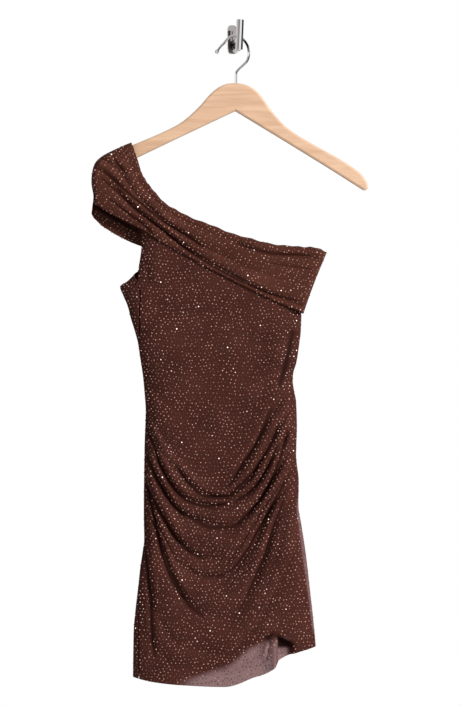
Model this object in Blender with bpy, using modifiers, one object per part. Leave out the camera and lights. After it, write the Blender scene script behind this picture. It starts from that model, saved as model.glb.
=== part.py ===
"""One-shoulder mini dress of draped mesh, on a wooden hanger that hangs from a chrome wall hook.

Metres, +Z up. The origin is the centre of the wall plate's back face: the wall is the plane y = 0,
and the dress hangs in front of it, towards -Y. Sizes below are in millimetres. A "drop" is a
distance below the origin, and "left" is the viewer's left, towards -X.
"""
import bpy
import bmesh
import math
from collections import namedtuple
from mathutils import Matrix
from mathutils import Vector

MM = 0.001

# The plane that the hanger and the side seams lie in, and the walls of cloth
HANG_PLANE = -36.0
PANEL_WALL = 1.5
BAND_WALL = 1.8
LINING_WALL = 1.2
SEAM_HALF_GAP = 0.3

# Depth of the flat tube: front and back of the panels, measured from the hang plane
FRONT_DEPTH = 15.0
BACK_DEPTH = 11.0
CORNER_SHARE = 0.16
WRAP_SEAM_X = -147.3
WRAP_LEAST = 2.0
ARMHOLE_FOOT = 384.0
ARMHOLE_HEAD = 370.0
ARMHOLE_OPEN_ANGLE = 24.0

# Side outlines of the body, from the armhole down to the hem
Side = namedtuple("Side", "drop x")
LEFT_SIDE = [
    Side(290, -143.5), Side(330, -145.0), Side(355, -148.0), Side(372, -152.5), Side(387, -164.5),
    Side(396, -177.0), Side(410, -172.0), Side(428, -164.5), Side(446, -160.0), Side(465, -154.0),
    Side(486, -148.5), Side(508, -145.2), Side(537, -140.8), Side(562, -138.4), Side(592, -136.4),
    Side(648, -138.2), Side(753, -139.4), Side(796, -138.8), Side(816, -141.4), Side(842, -145.2),
    Side(868, -148.0), Side(909, -152.8), Side(940, -155.4), Side(1030, -156.8),
]
RIGHT_SIDE = [
    Side(290, 107.0), Side(425, 108.0), Side(445, 109.6), Side(465, 108.8), Side(492, 105.6),
    Side(517, 101.6), Side(532, 97.0), Side(544, 96.0), Side(560, 98.0), Side(578, 101.4),
    Side(616, 102.6), Side(662, 101.4),
    Side(704, 105.5), Side(741, 105.0), Side(774, 110.0), Side(816, 116.4), Side(878, 123.6),
    Side(937, 130.0), Side(970, 132.5), Side(1030, 133.5),
]

# Swags of the front: the drop of each trough at seven stations across, how far the cloth between
# it and the next trough stands out at the left, middle and right, and the mesh rows in between
STATIONS = (0.0, 0.1, 0.25, 0.5, 0.65, 0.85, 1.0)
Swag = namedtuple("Swag", "name d0 d10 d25 d50 d65 d85 d100 rise_left rise_mid rise_right rows")
SWAGS = [
    Swag("top", 298, 309, 332, 359, 385, 408, 425, 0.0, 0.0, 0.0, 6),
    Swag("bust", 404, 408, 414, 422, 430, 439, 448, 1.0, 0.6, 1.0, 4),
    Swag("waist", 496, 509, 528, 544, 531, 496, 481, 1.5, 1.0, 2.0, 2),
    Swag("belly", 542, 567, 600, 629, 602, 544, 516, 2.0, 1.0, 3.0, 2),
    Swag("crease_a", 588, 626, 673, 714, 673, 592, 552, 2.0, 3.0, 4.0, 3),
    Swag("crease_b", 615, 651, 696, 729, 708, 627, 575, 3.0, 3.5, 4.5, 3),
    Swag("crease_c", 638, 678, 725, 741, 723, 663, 604, 4.0, 5.0, 5.0, 3),
    Swag("crease_d", 662, 709, 754, 772, 756, 692, 638, 6.0, 7.0, 6.0, 4),
    Swag("crease_e", 701, 752, 805, 827, 785, 717, 673, 3.0, 3.0, 4.0, 3),
    Swag("crease_f", 720, 777, 837, 854, 814, 733, 695, 4.0, 6.0, 5.0, 4),
    Swag("crease_g", 737, 789, 876, 918, 876, 765, 720, 4.0, 4.0, 5.0, 3),
    Swag("crease_h", 830, 900, 960, 975, 938, 850, 780, 3.0, 2.0, 3.0, 3),
    Swag("above_hem", 921, 959, 994, 1001, 976, 913, 872, 2.0, 1.0, 2.0, 3),
    Swag("hem", 1012, 1018, 1023, 1026, 1012, 977, 964, 0.0, 0.0, 0.0, 0),
]
BACK_SAG_SHARE = 0.65
BACK_RISE_SHARE = 0.6
RISE_FADE = 0.08

# The lower pleat of the front, where the sheer hem folds behind itself
PLEAT_TOP_DROP = 925.0
PLEAT_TOP_X = 54.0
PLEAT_HEM_X = 66.0
PLEAT_WIDTH = 11.0
PLEAT_RISE = 5.0

# Angles of the panel columns round a side's rounded corner, and flat columns between the corners
CORNER_ANGLES = (0.0, 4.0, 16.0, 34.0, 52.0, 70.0, 90.0)
WRAP_SHARES = (0.0, 0.07, 0.2, 0.36, 0.55, 0.77, 1.0)
FRONT_FLAT_COLUMNS = 14
BACK_FLAT_COLUMNS = 9

# The opaque lining, seen through the sheer hem: its top, its rows and its hem at the stations
LINING_TOP_DROP = 800.0
LINING_ROWS = 9
LINING_GAP = 0.85
LINING_SIDE_INSET = 5.5
LINING_RIGHT_LIMIT = 100.0
LINING_FLAT_COLUMNS = 8
Hem = namedtuple("Hem", "name d0 d10 d25 d50 d65 d85 d100")
LINING_FRONT_HEM = Hem("front", 1005, 1012, 1018, 992, 964, 953, 960)
LINING_BACK_HEM = Hem("back", 985, 991, 988, 972, 962, 966, 966)

# The pleated shoulder band: lines across it at stations from the shoulder to the right side.
# Each line is a bend with a start on the neck edge, a guide point, an end on the lower edge and
# how strongly the guide pulls the bend to itself, most where the cloth turns over the hanger's tip
Cross = namedtuple("Cross", "neck_x neck_drop guide_x guide_drop low_x low_drop pull")
BAND_FRONT = [
    Cross(-159, 168.5, -225.1, 199.6, -219, 266, 3.0), Cross(-152, 186, -189, 221, -203, 275, 1.4),
    Cross(-146.5, 203.5, -168, 243, -186, 285, 1.0), Cross(-140.5, 221, -153, 259, -164, 296, 1.0),
    Cross(-129, 238, -134, 275, -137, 310, 1.0), Cross(-109, 261.5, -110, 294, -110, 328, 1.0),
    Cross(-82, 279.5, -82, 312, -80, 345, 1.0), Cross(-42, 296.5, -42, 331, -42, 366, 1.0),
    Cross(0, 312.5, -3, 348, -6, 384, 1.0), Cross(47, 326, 41, 366, 35, 405, 1.0),
    Cross(91, 333, 82, 377, 71, 422, 1.0), Cross(124, 334.5, 110, 384, 95, 432, 1.0),
    Cross(150, 342, 126.5, 396, 113, 439, 1.0),
]
BAND_BACK = [
    Cross(-159, 168.5, -225.1, 199.6, -221.5, 281, 3.0), Cross(-152, 187, -189, 233, -209, 297, 1.4),
    Cross(-146.5, 205.5, -168, 254, -191, 309.5, 1.0), Cross(-140.5, 224, -153, 272, -166, 323, 1.0),
    Cross(-129, 242, -134, 285, -140.5, 333, 1.0), Cross(-109, 265.5, -110, 303, -110, 343, 1.0),
    Cross(-82, 283.5, -82, 318, -80, 354, 1.0), Cross(-42, 300.5, -42, 336, -42, 371, 1.0),
    Cross(0, 315.5, -3, 351, -6, 386, 1.0), Cross(47, 327, 41, 366, 35, 405, 1.0),
    Cross(91, 332, 82, 376, 71, 422, 1.0), Cross(124, 332.5, 110, 384, 95, 432, 1.0),
    Cross(150, 342, 126.5, 396, 113, 439, 1.0),
]

# Pleats that run along the band: where each line crosses the stations, as a share of the width,
# and how far it stands out at the shoulder, the middle and the right side
PLEAT_STATIONS = (0.0, 2.0, 4.5, 7.0, 10.0, 12.0)
PLEAT_LIFT_STATIONS = (0.0, 6.5, 12.0)
Pleat = namedtuple("Pleat", "name s0 s2 s4 s7 s10 s12 lift_shoulder lift_mid lift_right")
BAND_PLEATS = [
    Pleat("neck_edge", 0.0, 0.0, 0.0, 0.0, 0.0, 0.0, 0.0, 0.0, 0.0),
    Pleat("roll", 0.07, 0.07, 0.08, 0.08, 0.08, 0.08, 2.0, 3.0, 3.0),
    Pleat("upper_trough", 0.16, 0.17, 0.17, 0.17, 0.165, 0.15, 2.5, 2.2, 0.6),
    Pleat("upper_crest", 0.24, 0.28, 0.29, 0.36, 0.38, 0.38, 4.0, 5.0, 4.2),
    Pleat("middle_trough", 0.31, 0.40, 0.42, 0.57, 0.60, 0.60, 0.6, 1.5, 4.6),
    Pleat("middle_crest", 0.43, 0.51, 0.55, 0.70, 0.76, 0.76, 4.0, 5.0, 4.6),
    Pleat("lower_trough", 0.56, 0.62, 0.68, 0.83, 0.92, 0.90, 0.4, 0.1, 0.1),
    Pleat("tuck_crest", 0.78, 0.80, 0.84, 0.92, 0.96, 0.95, 2.5, 3.2, 2.4),
    Pleat("lower_edge", 1.0, 1.0, 1.0, 1.0, 1.0, 1.0, 0.0, 0.0, 0.0),
]
BAND_DEPTH_STATIONS = (0.0, 3.0, 5.0, 12.0)
BAND_FRONT_DEPTHS = (13.5, 14.5, 17.0, 17.0)
BAND_BACK_DEPTHS = (12.5, 12.8, 13.0, 13.0)
BAND_END_ANGLES = (0.0, 7.0, 20.0, 38.0, 62.0)
BAND_SHOULDER_ROUND = 0.24
BAND_RIGHT_ROUND = 0.45
BAND_COLUMNS = 22

# Hanger: half outline from the top centre, above and below, its thickness and its tilt
HANGER_TOP = Vector((7.2, -75.0))
HANGER_TILT = 3.0
HANGER_THICK = 12.0
HANGER_EDGE_ROUND = 3.0
Half = namedtuple("Half", "x drop")
HANGER_UPPER = [
    Half(0, 0), Half(14, 1.6), Half(26.8, 7.4), Half(40.2, 19), Half(55, 38), Half(72.5, 56.8),
    Half(89.8, 70.9), Half(119.7, 87.4), Half(160.7, 107.2), Half(192, 124.4), Half(207.5, 136.5),
    Half(215.5, 148.5),
]
HANGER_LOWER = [Half(216.5, 155), Half(210.5, 159), Half(150, 125), Half(80, 86.8), Half(0, 43.8)]
HOOK_BORE_DEPTH = 26.0
HOOK_BORE_CLEARANCE = 0.3

# The hanger's wire hook: its path in the hang plane, up from the bore and over the wall hook's peg
WIRE_RADIUS = 2.0
BALL_RADIUS = 3.4
STEM_X = 6.4
Bend = namedtuple("Bend", "x drop")
WIRE_PATH = [
    Bend(6.3, 64.0), Bend(7.0, 57.5), Bend(11.5, 51.8), Bend(17.5, 46.5), Bend(23.0, 41.0),
    Bend(26.2, 34.0), Bend(26.7, 25.0), Bend(24.7, 15.6), Bend(19.0, 6.6), Bend(12.0, 1.4),
    Bend(4.4, -0.5), Bend(-3.0, 1.6), Bend(-8.2, 6.0), Bend(-12.8, 11.6), Bend(-18.6, 17.6),
    Bend(-23.8, 25.0),
]
WIRE_STEPS = 4

# Wall hook: a plate on the wall, a slanting peg, an upright bar, and a J-shaped stem that runs
# down the plate and forward to the bar's foot
PLATE_WIDTH = 16.0
PLATE_HEIGHT = 46.0
PLATE_THICK = 4.0
PLATE_EDGE_ROUND = 1.2
PEG_RADIUS = 4.5
PEG_DROP = 7.6
BAR_X = 12.0
BAR_LEAN = 1.0
BAR_Y = -46.0
BAR_RADIUS = 5.8
BAR_TOP = 23.5
BAR_FOOT_DROP = 23.5
LIP_RADIUS = 4.0
Knee = namedtuple("Knee", "x y drop")
LIP_PATH = [
    Knee(-2.5, -9.2, -12.5), Knee(-2.5, -9.4, -5.0), Knee(-2.5, -9.6, 3.0),
    Knee(-2.6, -10.0, 10.5), Knee(-2.2, -12.6, 17.0), Knee(0.6, -19.0, 21.4),
    Knee(4.4, -29.0, 23.0), Knee(8.2, -39.0, 23.0),
    Knee(10.6, -45.0, 21.0), Knee(11.4, -46.5, 17.0),
]
FACE_GAP = 0.3

# Colours, roughness and metal of each material
Finish = namedtuple("Finish", "name red green blue roughness metallic")
MESH_BROWN = Finish("studded_mesh", 0.085, 0.036, 0.028, 0.72, 0.0)
BAND_BROWN = Finish("pleated_mesh", 0.075, 0.031, 0.024, 0.72, 0.0)
LINING_BROWN = Finish("lining_jersey", 0.045, 0.018, 0.014, 0.80, 0.0)
WOOD = Finish("pale_beech", 0.74, 0.49, 0.31, 0.45, 0.0)
CHROME = Finish("polished_chrome", 0.62, 0.61, 0.60, 0.14, 1.0)


def curve_value(keys, values, at):
    """A smooth curve through a table that never overshoots its points."""
    if at <= keys[0]:
        return values[0]
    if at >= keys[-1]:
        return values[-1]
    slopes = [(values[i + 1] - values[i]) / (keys[i + 1] - keys[i]) for i in range(len(keys) - 1)]
    tangents = [slopes[0]]
    for before, after in zip(slopes, slopes[1:]):
        tangents.append(0.0 if before * after <= 0 else 2 * before * after / (before + after))
    tangents.append(slopes[-1])
    i = max(k for k in range(len(keys) - 1) if keys[k] <= at)
    span = keys[i + 1] - keys[i]
    t = (at - keys[i]) / span
    low = (1 + 2 * t) * (1 - t) ** 2 * values[i] + t * (1 - t) ** 2 * span * tangents[i]
    high = t * t * (3 - 2 * t) * values[i + 1] + t * t * (t - 1) * span * tangents[i + 1]
    return low + high


def smooth_step(low, high, value):
    t = min(1.0, max(0.0, (value - low) / (high - low)))
    return t * t * (3 - 2 * t)


def side_x(side, drop):
    return curve_value([row.drop for row in side], [row.x for row in side], drop)


def corner_height(share):
    """How far the tube's wall stands from the hang plane, 0 at the sides and 1 on the flat."""
    inward = min(1.0, min(share, 1.0 - share) / CORNER_SHARE)
    return math.sqrt(max(0.0, 1.0 - (1.0 - inward) ** 2))


def corner_share(angle):
    return CORNER_SHARE * (1.0 - math.cos(math.radians(angle)))


def swag_rows():
    """Each mesh row as a swag and the way from it to the next one, from the top to the hem."""
    rows = [(i, step / swag.rows) for i, swag in enumerate(SWAGS) for step in range(swag.rows)]
    return rows + [(len(SWAGS) - 1, 0.0)]


def swag_drop(index, share, sag_share=1.0):
    drops = SWAGS[index][1:8]
    straight = drops[0] + (drops[-1] - drops[0]) * share
    return straight + (curve_value(STATIONS, drops, share) - straight) * sag_share


def row_drop(row, share, sag_share=1.0):
    index, way = row
    drop = swag_drop(index, share, sag_share)
    if way == 0.0:
        return drop
    return drop + (swag_drop(index + 1, share, sag_share) - drop) * way


def row_rise(row, share):
    index, way = row
    swag = SWAGS[index]
    rise = curve_value((0.1, 0.5, 0.9), (swag.rise_left, swag.rise_mid, swag.rise_right), share)
    fade = smooth_step(0.0, RISE_FADE, share) * smooth_step(0.0, RISE_FADE, 1.0 - share)
    return rise * fade * math.sin(math.pi * way)


def pleat_rise(x, drop):
    way = min(1.0, max(0.0, (drop - PLEAT_TOP_DROP) / (SWAGS[-1].d65 - PLEAT_TOP_DROP)))
    middle = PLEAT_TOP_X + (PLEAT_HEM_X - PLEAT_TOP_X) * way
    return PLEAT_RISE * smooth_step(0.0, 0.6, way) * math.exp(-((x - middle) / PLEAT_WIDTH) ** 2)


def seam_angle(drop):
    """The corner angle of the left seam, which runs a little way round on the front."""
    left = side_x(LEFT_SIDE, drop)
    width = side_x(RIGHT_SIDE, drop) - left
    wrap = max(WRAP_LEAST, WRAP_SEAM_X - left)
    inward = min(1.0, wrap / width / CORNER_SHARE)
    return math.degrees(math.acos(1.0 - inward))


def panel_point(front, share, drop, rise):
    left = side_x(LEFT_SIDE, drop)
    x = left + (side_x(RIGHT_SIDE, drop) - left) * share
    depth = FRONT_DEPTH if front else BACK_DEPTH
    out = SEAM_HALF_GAP + (depth - SEAM_HALF_GAP) * corner_height(share) + rise
    if front:
        return Vector((x, HANG_PLANE - out - pleat_rise(x, drop) * corner_height(share), -drop))
    return Vector((x, HANG_PLANE + out, -drop))


def flat_shares(columns):
    step = (1.0 - 2 * CORNER_SHARE) / columns
    return [CORNER_SHARE + step * i for i in range(1, columns)]


def front_rows():
    rows = []
    for row in swag_rows():
        drop = row_drop(row, 0.0)
        start = seam_angle(drop)
        gap_angle = start + math.degrees(2 * SEAM_HALF_GAP / FRONT_DEPTH)
        shares = [corner_share(gap_angle + (90.0 - gap_angle) * s) for s in WRAP_SHARES]
        shares += flat_shares(FRONT_FLAT_COLUMNS)
        shares += [1.0 - corner_share(angle) for angle in reversed(CORNER_ANGLES)]
        points = [panel_point(True, s, row_drop(row, s), row_rise(row, s)) for s in shares]
        rows.append(points)
    return rows


def back_rows():
    rows = []
    for row in swag_rows():
        drop = row_drop(row, 0.0)
        armhole = smooth_step(ARMHOLE_FOOT, ARMHOLE_HEAD, drop)
        start = -seam_angle(drop) * (1.0 - armhole) + ARMHOLE_OPEN_ANGLE * armhole
        points = []
        for share_of_turn in WRAP_SHARES:
            angle = start + (90.0 - start) * share_of_turn
            share = corner_share(abs(angle))
            on_front = angle < 0
            sag = 1.0 if on_front else BACK_SAG_SHARE
            points.append(panel_point(on_front, share, row_drop(row, share, sag), 0.0))
        for share in flat_shares(BACK_FLAT_COLUMNS):
            rise = BACK_RISE_SHARE * row_rise(row, share)
            points.append(panel_point(False, share, row_drop(row, share, BACK_SAG_SHARE), rise))
        for angle in reversed(CORNER_ANGLES):
            share = 1.0 - corner_share(angle)
            points.append(panel_point(False, share, row_drop(row, share, BACK_SAG_SHARE), 0.0))
        rows.append(points)
    return rows


def lining_rows(front, hem):
    """Rows of the lining inside one panel, from its top down to its own hem."""
    depth = (FRONT_DEPTH if front else BACK_DEPTH) - PANEL_WALL - LINING_GAP
    side = -1 if front else 1
    shares = [corner_share(angle) for angle in CORNER_ANGLES]
    shares += flat_shares(LINING_FLAT_COLUMNS)
    shares += [1.0 - corner_share(angle) for angle in reversed(CORNER_ANGLES)]
    rows = []
    for i in range(LINING_ROWS + 1):
        points = []
        for share in shares:
            hem_drop = curve_value(STATIONS, hem[1:], share)
            drop = LINING_TOP_DROP + (hem_drop - LINING_TOP_DROP) * i / LINING_ROWS
            left = side_x(LEFT_SIDE, drop) + LINING_SIDE_INSET
            right = min(side_x(RIGHT_SIDE, drop) - LINING_SIDE_INSET, LINING_RIGHT_LIMIT)
            x = left + (right - left) * share
            y = HANG_PLANE + side * (depth * corner_height(share) + SEAM_HALF_GAP)
            points.append(Vector((x, y, -drop)))
        rows.append(points)
    return rows


def band_cross(table, station):
    """The neck, guide and lower points of the line across the band at a station, and its pull."""
    stations = range(len(table))
    values = [curve_value(stations, [line[column] for line in table], station) for column in range(7)]
    return Vector(values[0:2]), Vector(values[2:4]), Vector(values[4:6]), values[6]


def band_point(table, station, share):
    neck, guide, low, pull = band_cross(table, station)
    weights = ((1 - share) ** 2, 2 * pull * share * (1 - share), share * share)
    return (neck * weights[0] + guide * weights[1] + low * weights[2]) / sum(weights)


def band_columns():
    """Stations of the band's columns, each with how far it has turned out of the hang plane."""
    last = len(BAND_FRONT) - 1
    columns = []
    for angle in BAND_END_ANGLES:
        turn = math.radians(angle)
        columns.append((BAND_SHOULDER_ROUND * (1 - math.cos(turn)), math.sin(turn)))
    first_flat = BAND_SHOULDER_ROUND
    last_flat = last - BAND_RIGHT_ROUND
    for i in range(BAND_COLUMNS + 1):
        columns.append((first_flat + (last_flat - first_flat) * i / BAND_COLUMNS, 1.0))
    for angle in reversed(BAND_END_ANGLES):
        turn = math.radians(angle)
        columns.append((last - BAND_RIGHT_ROUND * (1 - math.cos(turn)), math.sin(turn)))
    return columns


def band_rows(table, depths, side):
    rows = []
    for pleat in BAND_PLEATS:
        lifts = (pleat.lift_shoulder, pleat.lift_mid, pleat.lift_right)
        points = []
        for station, turned in band_columns():
            share = curve_value(PLEAT_STATIONS, pleat[1:7], station)
            flat = band_point(table, station, share)
            depth = curve_value(BAND_DEPTH_STATIONS, depths, station)
            depth += curve_value(PLEAT_LIFT_STATIONS, lifts, station)
            y = HANG_PLANE + side * (depth * turned + SEAM_HALF_GAP)
            points.append(Vector((flat.x, y, -flat.y)))
        rows.append(points)
    return rows


def new_material(finish):
    material = bpy.data.materials.new(finish.name)
    material.use_nodes = True
    shader = material.node_tree.nodes["Principled BSDF"]
    shader.inputs["Base Color"].default_value = (finish.red, finish.green, finish.blue, 1.0)
    shader.inputs["Roughness"].default_value = finish.roughness
    shader.inputs["Metallic"].default_value = finish.metallic
    return material


def add_object(name, mesh, finish, collection, sharp_angle=40.0):
    obj = bpy.data.objects.new(name, mesh)
    mesh.materials.clear()
    mesh.materials.append(new_material(finish))
    mesh.shade_smooth()
    mesh.set_sharp_from_angle(angle=math.radians(sharp_angle))
    collection.objects.link(obj)
    return obj


def cloth(name, rows, wall, outward, finish, collection):
    """A wall of cloth: a grid through the rows, thickened inwards from its outer face."""
    bm = bmesh.new()
    grid = [[bm.verts.new(point * MM) for point in row] for row in rows]
    for upper, lower in zip(grid, grid[1:]):
        for i in range(len(upper) - 1):
            corners = (upper[i], lower[i], lower[i + 1], upper[i + 1])
            bm.faces.new(corners if outward < 0 else tuple(reversed(corners)))
    mesh = bpy.data.meshes.new(name)
    bm.to_mesh(mesh)
    bm.free()
    obj = add_object(name, mesh, finish, collection)
    solidify = obj.modifiers.new("wall", 'SOLIDIFY')
    solidify.thickness = wall * MM
    solidify.offset = -1.0
    return obj


def smooth_path(points, steps):
    """Points along a smooth curve through the given ones, with a few steps between each pair."""
    keys = [0.0]
    for before, after in zip(points, points[1:]):
        keys.append(keys[-1] + (after - before).length)
    path = []
    for i in range(len(points) - 1):
        before = points[max(0, i - 1)]
        after = points[min(len(points) - 1, i + 2)]
        start_pull = (points[i + 1] - before) / 6
        end_pull = (after - points[i]) / 6
        for step in range(steps):
            t = step / steps
            guide_a = points[i] + start_pull
            guide_b = points[i + 1] - end_pull
            path.append(points[i] * (1 - t) ** 3 + guide_a * 3 * t * (1 - t) ** 2
                        + guide_b * 3 * t * t * (1 - t) + points[i + 1] * t ** 3)
    return path + [points[-1]]


def tube_mesh(name, points, radius, resolution=2):
    """A round rod along the points, as a closed mesh."""
    curve = bpy.data.curves.new(name, 'CURVE')
    curve.dimensions = '3D'
    curve.bevel_depth = radius * MM
    curve.bevel_resolution = resolution
    curve.use_fill_caps = True
    spline = curve.splines.new('POLY')
    spline.points.add(len(points) - 1)
    for target, point in zip(spline.points, points):
        target.co = (point.x * MM, point.y * MM, point.z * MM, 1.0)
    rod = bpy.data.objects.new(name, curve)
    bpy.context.scene.collection.objects.link(rod)
    bpy.context.view_layer.update()
    evaluated = rod.evaluated_get(bpy.context.evaluated_depsgraph_get())
    mesh = bpy.data.meshes.new_from_object(evaluated)
    bpy.data.objects.remove(rod)
    bpy.data.curves.remove(curve)
    bm = bmesh.new()
    bm.from_mesh(mesh)
    bmesh.ops.remove_doubles(bm, verts=bm.verts, dist=0.00001)
    bmesh.ops.recalc_face_normals(bm, faces=bm.faces)
    bm.to_mesh(mesh)
    bm.free()
    return mesh


def helper_object(name, mesh, cutters):
    obj = bpy.data.objects.new(name, mesh)
    obj.hide_render = True
    obj.display_type = 'WIRE'
    cutters.objects.link(obj)
    return obj


def boolean(obj, other, operation):
    modifier = obj.modifiers.new(operation.lower(), 'BOOLEAN')
    modifier.operation = operation
    modifier.object = other


def hanger_outline():
    """The whole outline of the hanger, tilted, in the hang plane."""
    def half(rows, steps):
        return smooth_path([Vector((row.x, -row.drop)) for row in rows], steps)
    right = half(HANGER_UPPER, 2) + half(HANGER_LOWER[:2], 1) + [
        Vector((row.x, -row.drop)) for row in HANGER_LOWER[2:]]
    left = [Vector((-point.x, point.y)) for point in reversed(right) if point.x > 0.01]
    tilt = Matrix.Rotation(-math.radians(HANGER_TILT), 2)
    return [tilt @ point + HANGER_TOP for point in right + left]


def build_hanger(collection, cutters):
    outline = hanger_outline()
    bm = bmesh.new()
    y = (HANG_PLANE - HANGER_THICK / 2) * MM
    front = bm.faces.new([bm.verts.new((p.x * MM, y, p.y * MM)) for p in outline])
    grown = bmesh.ops.extrude_face_region(bm, geom=[front])["geom"]
    moved = [item for item in grown if isinstance(item, bmesh.types.BMVert)]
    bmesh.ops.translate(bm, verts=moved, vec=(0, HANGER_THICK * MM, 0))
    bm.normal_update()
    bmesh.ops.recalc_face_normals(bm, faces=bm.faces)
    mesh = bpy.data.meshes.new("hanger_wood")
    bm.to_mesh(mesh)
    bm.free()
    hanger = add_object("hanger_wood", mesh, WOOD, collection)
    bevel = hanger.modifiers.new("round_edges", 'BEVEL')
    bevel.width = HANGER_EDGE_ROUND * MM
    bevel.segments = 2
    bevel.limit_method = 'ANGLE'
    bevel.angle_limit = math.radians(60)
    bore_bottom = Vector((STEM_X, HANG_PLANE, HANGER_TOP.y - HOOK_BORE_DEPTH))
    bore_top = bore_bottom + Vector((0, 0, HOOK_BORE_DEPTH + 12.0))
    bore = tube_mesh("hook_bore", [bore_bottom, bore_top], WIRE_RADIUS + HOOK_BORE_CLEARANCE)
    boolean(hanger, helper_object("hook_bore", bore, cutters), 'DIFFERENCE')


def build_hanger_hook(collection, cutters):
    stem_foot = Vector((STEM_X, HANG_PLANE, HANGER_TOP.y - HOOK_BORE_DEPTH + 1.0))
    stem = [stem_foot, Vector((STEM_X, HANG_PLANE, HANGER_TOP.y - 2.0))]
    bends = [Vector((bend.x, HANG_PLANE, -bend.drop)) for bend in WIRE_PATH]
    wire = tube_mesh("hanger_hook", stem[:1] + smooth_path(stem[1:] + bends, WIRE_STEPS), WIRE_RADIUS)
    hook = add_object("hanger_hook", wire, CHROME, collection)
    bm = bmesh.new()
    bmesh.ops.create_uvsphere(bm, u_segments=14, v_segments=9, radius=BALL_RADIUS * MM)
    bmesh.ops.translate(bm, verts=bm.verts, vec=bends[-1] * MM)
    ball = bpy.data.meshes.new("hook_ball")
    bm.to_mesh(ball)
    bm.free()
    boolean(hook, helper_object("hook_ball", ball, cutters), 'UNION')


def build_wall_plate(collection):
    """A rounded plate, whose flat back face at y = 0 is the face that meets the wall."""
    bm = bmesh.new()
    bmesh.ops.create_cone(bm, cap_ends=True, segments=32, radius1=1.0, radius2=1.0, depth=1.0)
    for vert in bm.verts:
        turn = math.atan2(vert.co.y, vert.co.x)
        reach = (abs(math.cos(turn)) ** 4 + abs(math.sin(turn)) ** 4) ** -0.25
        back = vert.co.z > 0
        vert.co = Vector((math.cos(turn) * reach * PLATE_WIDTH / 2, 0.0 if back else -PLATE_THICK,
                          math.sin(turn) * reach * PLATE_HEIGHT / 2)) * MM
    bm.normal_update()
    bmesh.ops.recalc_face_normals(bm, faces=bm.faces)
    mesh = bpy.data.meshes.new("wall_plate")
    bm.to_mesh(mesh)
    bm.free()
    plate = add_object("wall_plate", mesh, CHROME, collection)
    bevel = plate.modifiers.new("round_edges", 'BEVEL')
    bevel.width = PLATE_EDGE_ROUND * MM
    bevel.segments = 2
    bevel.limit_method = 'ANGLE'
    bevel.angle_limit = math.radians(60)


def build_wall_hook(collection, cutters):
    start = Vector((0.0, -PLATE_THICK - FACE_GAP, -PEG_DROP))
    peg = tube_mesh("wall_hook", [start, Vector((BAR_X, BAR_Y, -PEG_DROP))], PEG_RADIUS, 4)
    middle = BAR_Y / 2 * MM
    for vert in peg.vertices:
        if vert.co.y > middle:
            vert.co.y = start.y * MM
    hook = add_object("wall_hook", peg, CHROME, collection)
    bar_ends = [Vector((BAR_X + BAR_LEAN, BAR_Y, BAR_TOP)),
                Vector((BAR_X - BAR_LEAN, BAR_Y, -BAR_FOOT_DROP))]
    bar = tube_mesh("wall_hook_bar", bar_ends, BAR_RADIUS, 4)
    boolean(hook, helper_object("wall_hook_bar", bar, cutters), 'UNION')
    lip_points = smooth_path([Vector((k.x, k.y, -k.drop)) for k in LIP_PATH], 3)
    lip = tube_mesh("wall_hook_lip", lip_points, LIP_RADIUS)
    boolean(hook, helper_object("wall_hook_lip", lip, cutters), 'UNION')


def main():
    for obj in list(bpy.data.objects):
        bpy.data.objects.remove(obj)
    parts = bpy.data.collections.new("one_shoulder_dress")
    cutters = bpy.data.collections.new("cutters")
    bpy.context.scene.collection.children.link(parts)
    bpy.context.scene.collection.children.link(cutters)

    cloth("front_panel", front_rows(), PANEL_WALL, -1, MESH_BROWN, parts)
    cloth("back_panel", back_rows(), PANEL_WALL, 1, MESH_BROWN, parts)
    cloth("lining_front", lining_rows(True, LINING_FRONT_HEM), LINING_WALL, -1, LINING_BROWN, parts)
    cloth("lining_back", lining_rows(False, LINING_BACK_HEM), LINING_WALL, 1, LINING_BROWN, parts)
    cloth("shoulder_band_front", band_rows(BAND_FRONT, BAND_FRONT_DEPTHS, -1), BAND_WALL, -1,
          BAND_BROWN, parts)
    cloth("shoulder_band_back", band_rows(BAND_BACK, BAND_BACK_DEPTHS, 1), BAND_WALL, 1,
          BAND_BROWN, parts)
    build_hanger(parts, cutters)
    build_hanger_hook(parts, cutters)
    build_wall_plate(parts)
    build_wall_hook(parts, cutters)


main()
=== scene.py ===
import math
from collections import namedtuple

import bmesh
import bpy
import numpy as np
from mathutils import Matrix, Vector
from mathutils.bvhtree import BVHTree


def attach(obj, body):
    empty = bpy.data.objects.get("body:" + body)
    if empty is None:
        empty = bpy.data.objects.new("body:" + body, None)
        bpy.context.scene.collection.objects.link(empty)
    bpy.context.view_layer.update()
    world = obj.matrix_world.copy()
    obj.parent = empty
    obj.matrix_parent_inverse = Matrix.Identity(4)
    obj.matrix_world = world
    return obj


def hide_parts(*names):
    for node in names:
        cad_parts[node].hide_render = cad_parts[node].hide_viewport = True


# Looks of the one-shoulder dress. Sizes are in millimetres in the frame's axes, as in the part:
# the wall is the plane y = 0, a "drop" is a distance below the origin, and left is towards -X.
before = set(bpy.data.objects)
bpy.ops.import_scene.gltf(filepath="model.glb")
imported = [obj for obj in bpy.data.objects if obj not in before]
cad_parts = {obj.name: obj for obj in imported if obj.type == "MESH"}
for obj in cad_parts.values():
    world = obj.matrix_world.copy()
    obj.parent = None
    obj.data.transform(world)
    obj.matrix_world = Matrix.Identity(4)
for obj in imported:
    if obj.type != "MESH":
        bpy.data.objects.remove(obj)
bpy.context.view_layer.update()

MM = 0.001
rng = np.random.default_rng(7)

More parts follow.
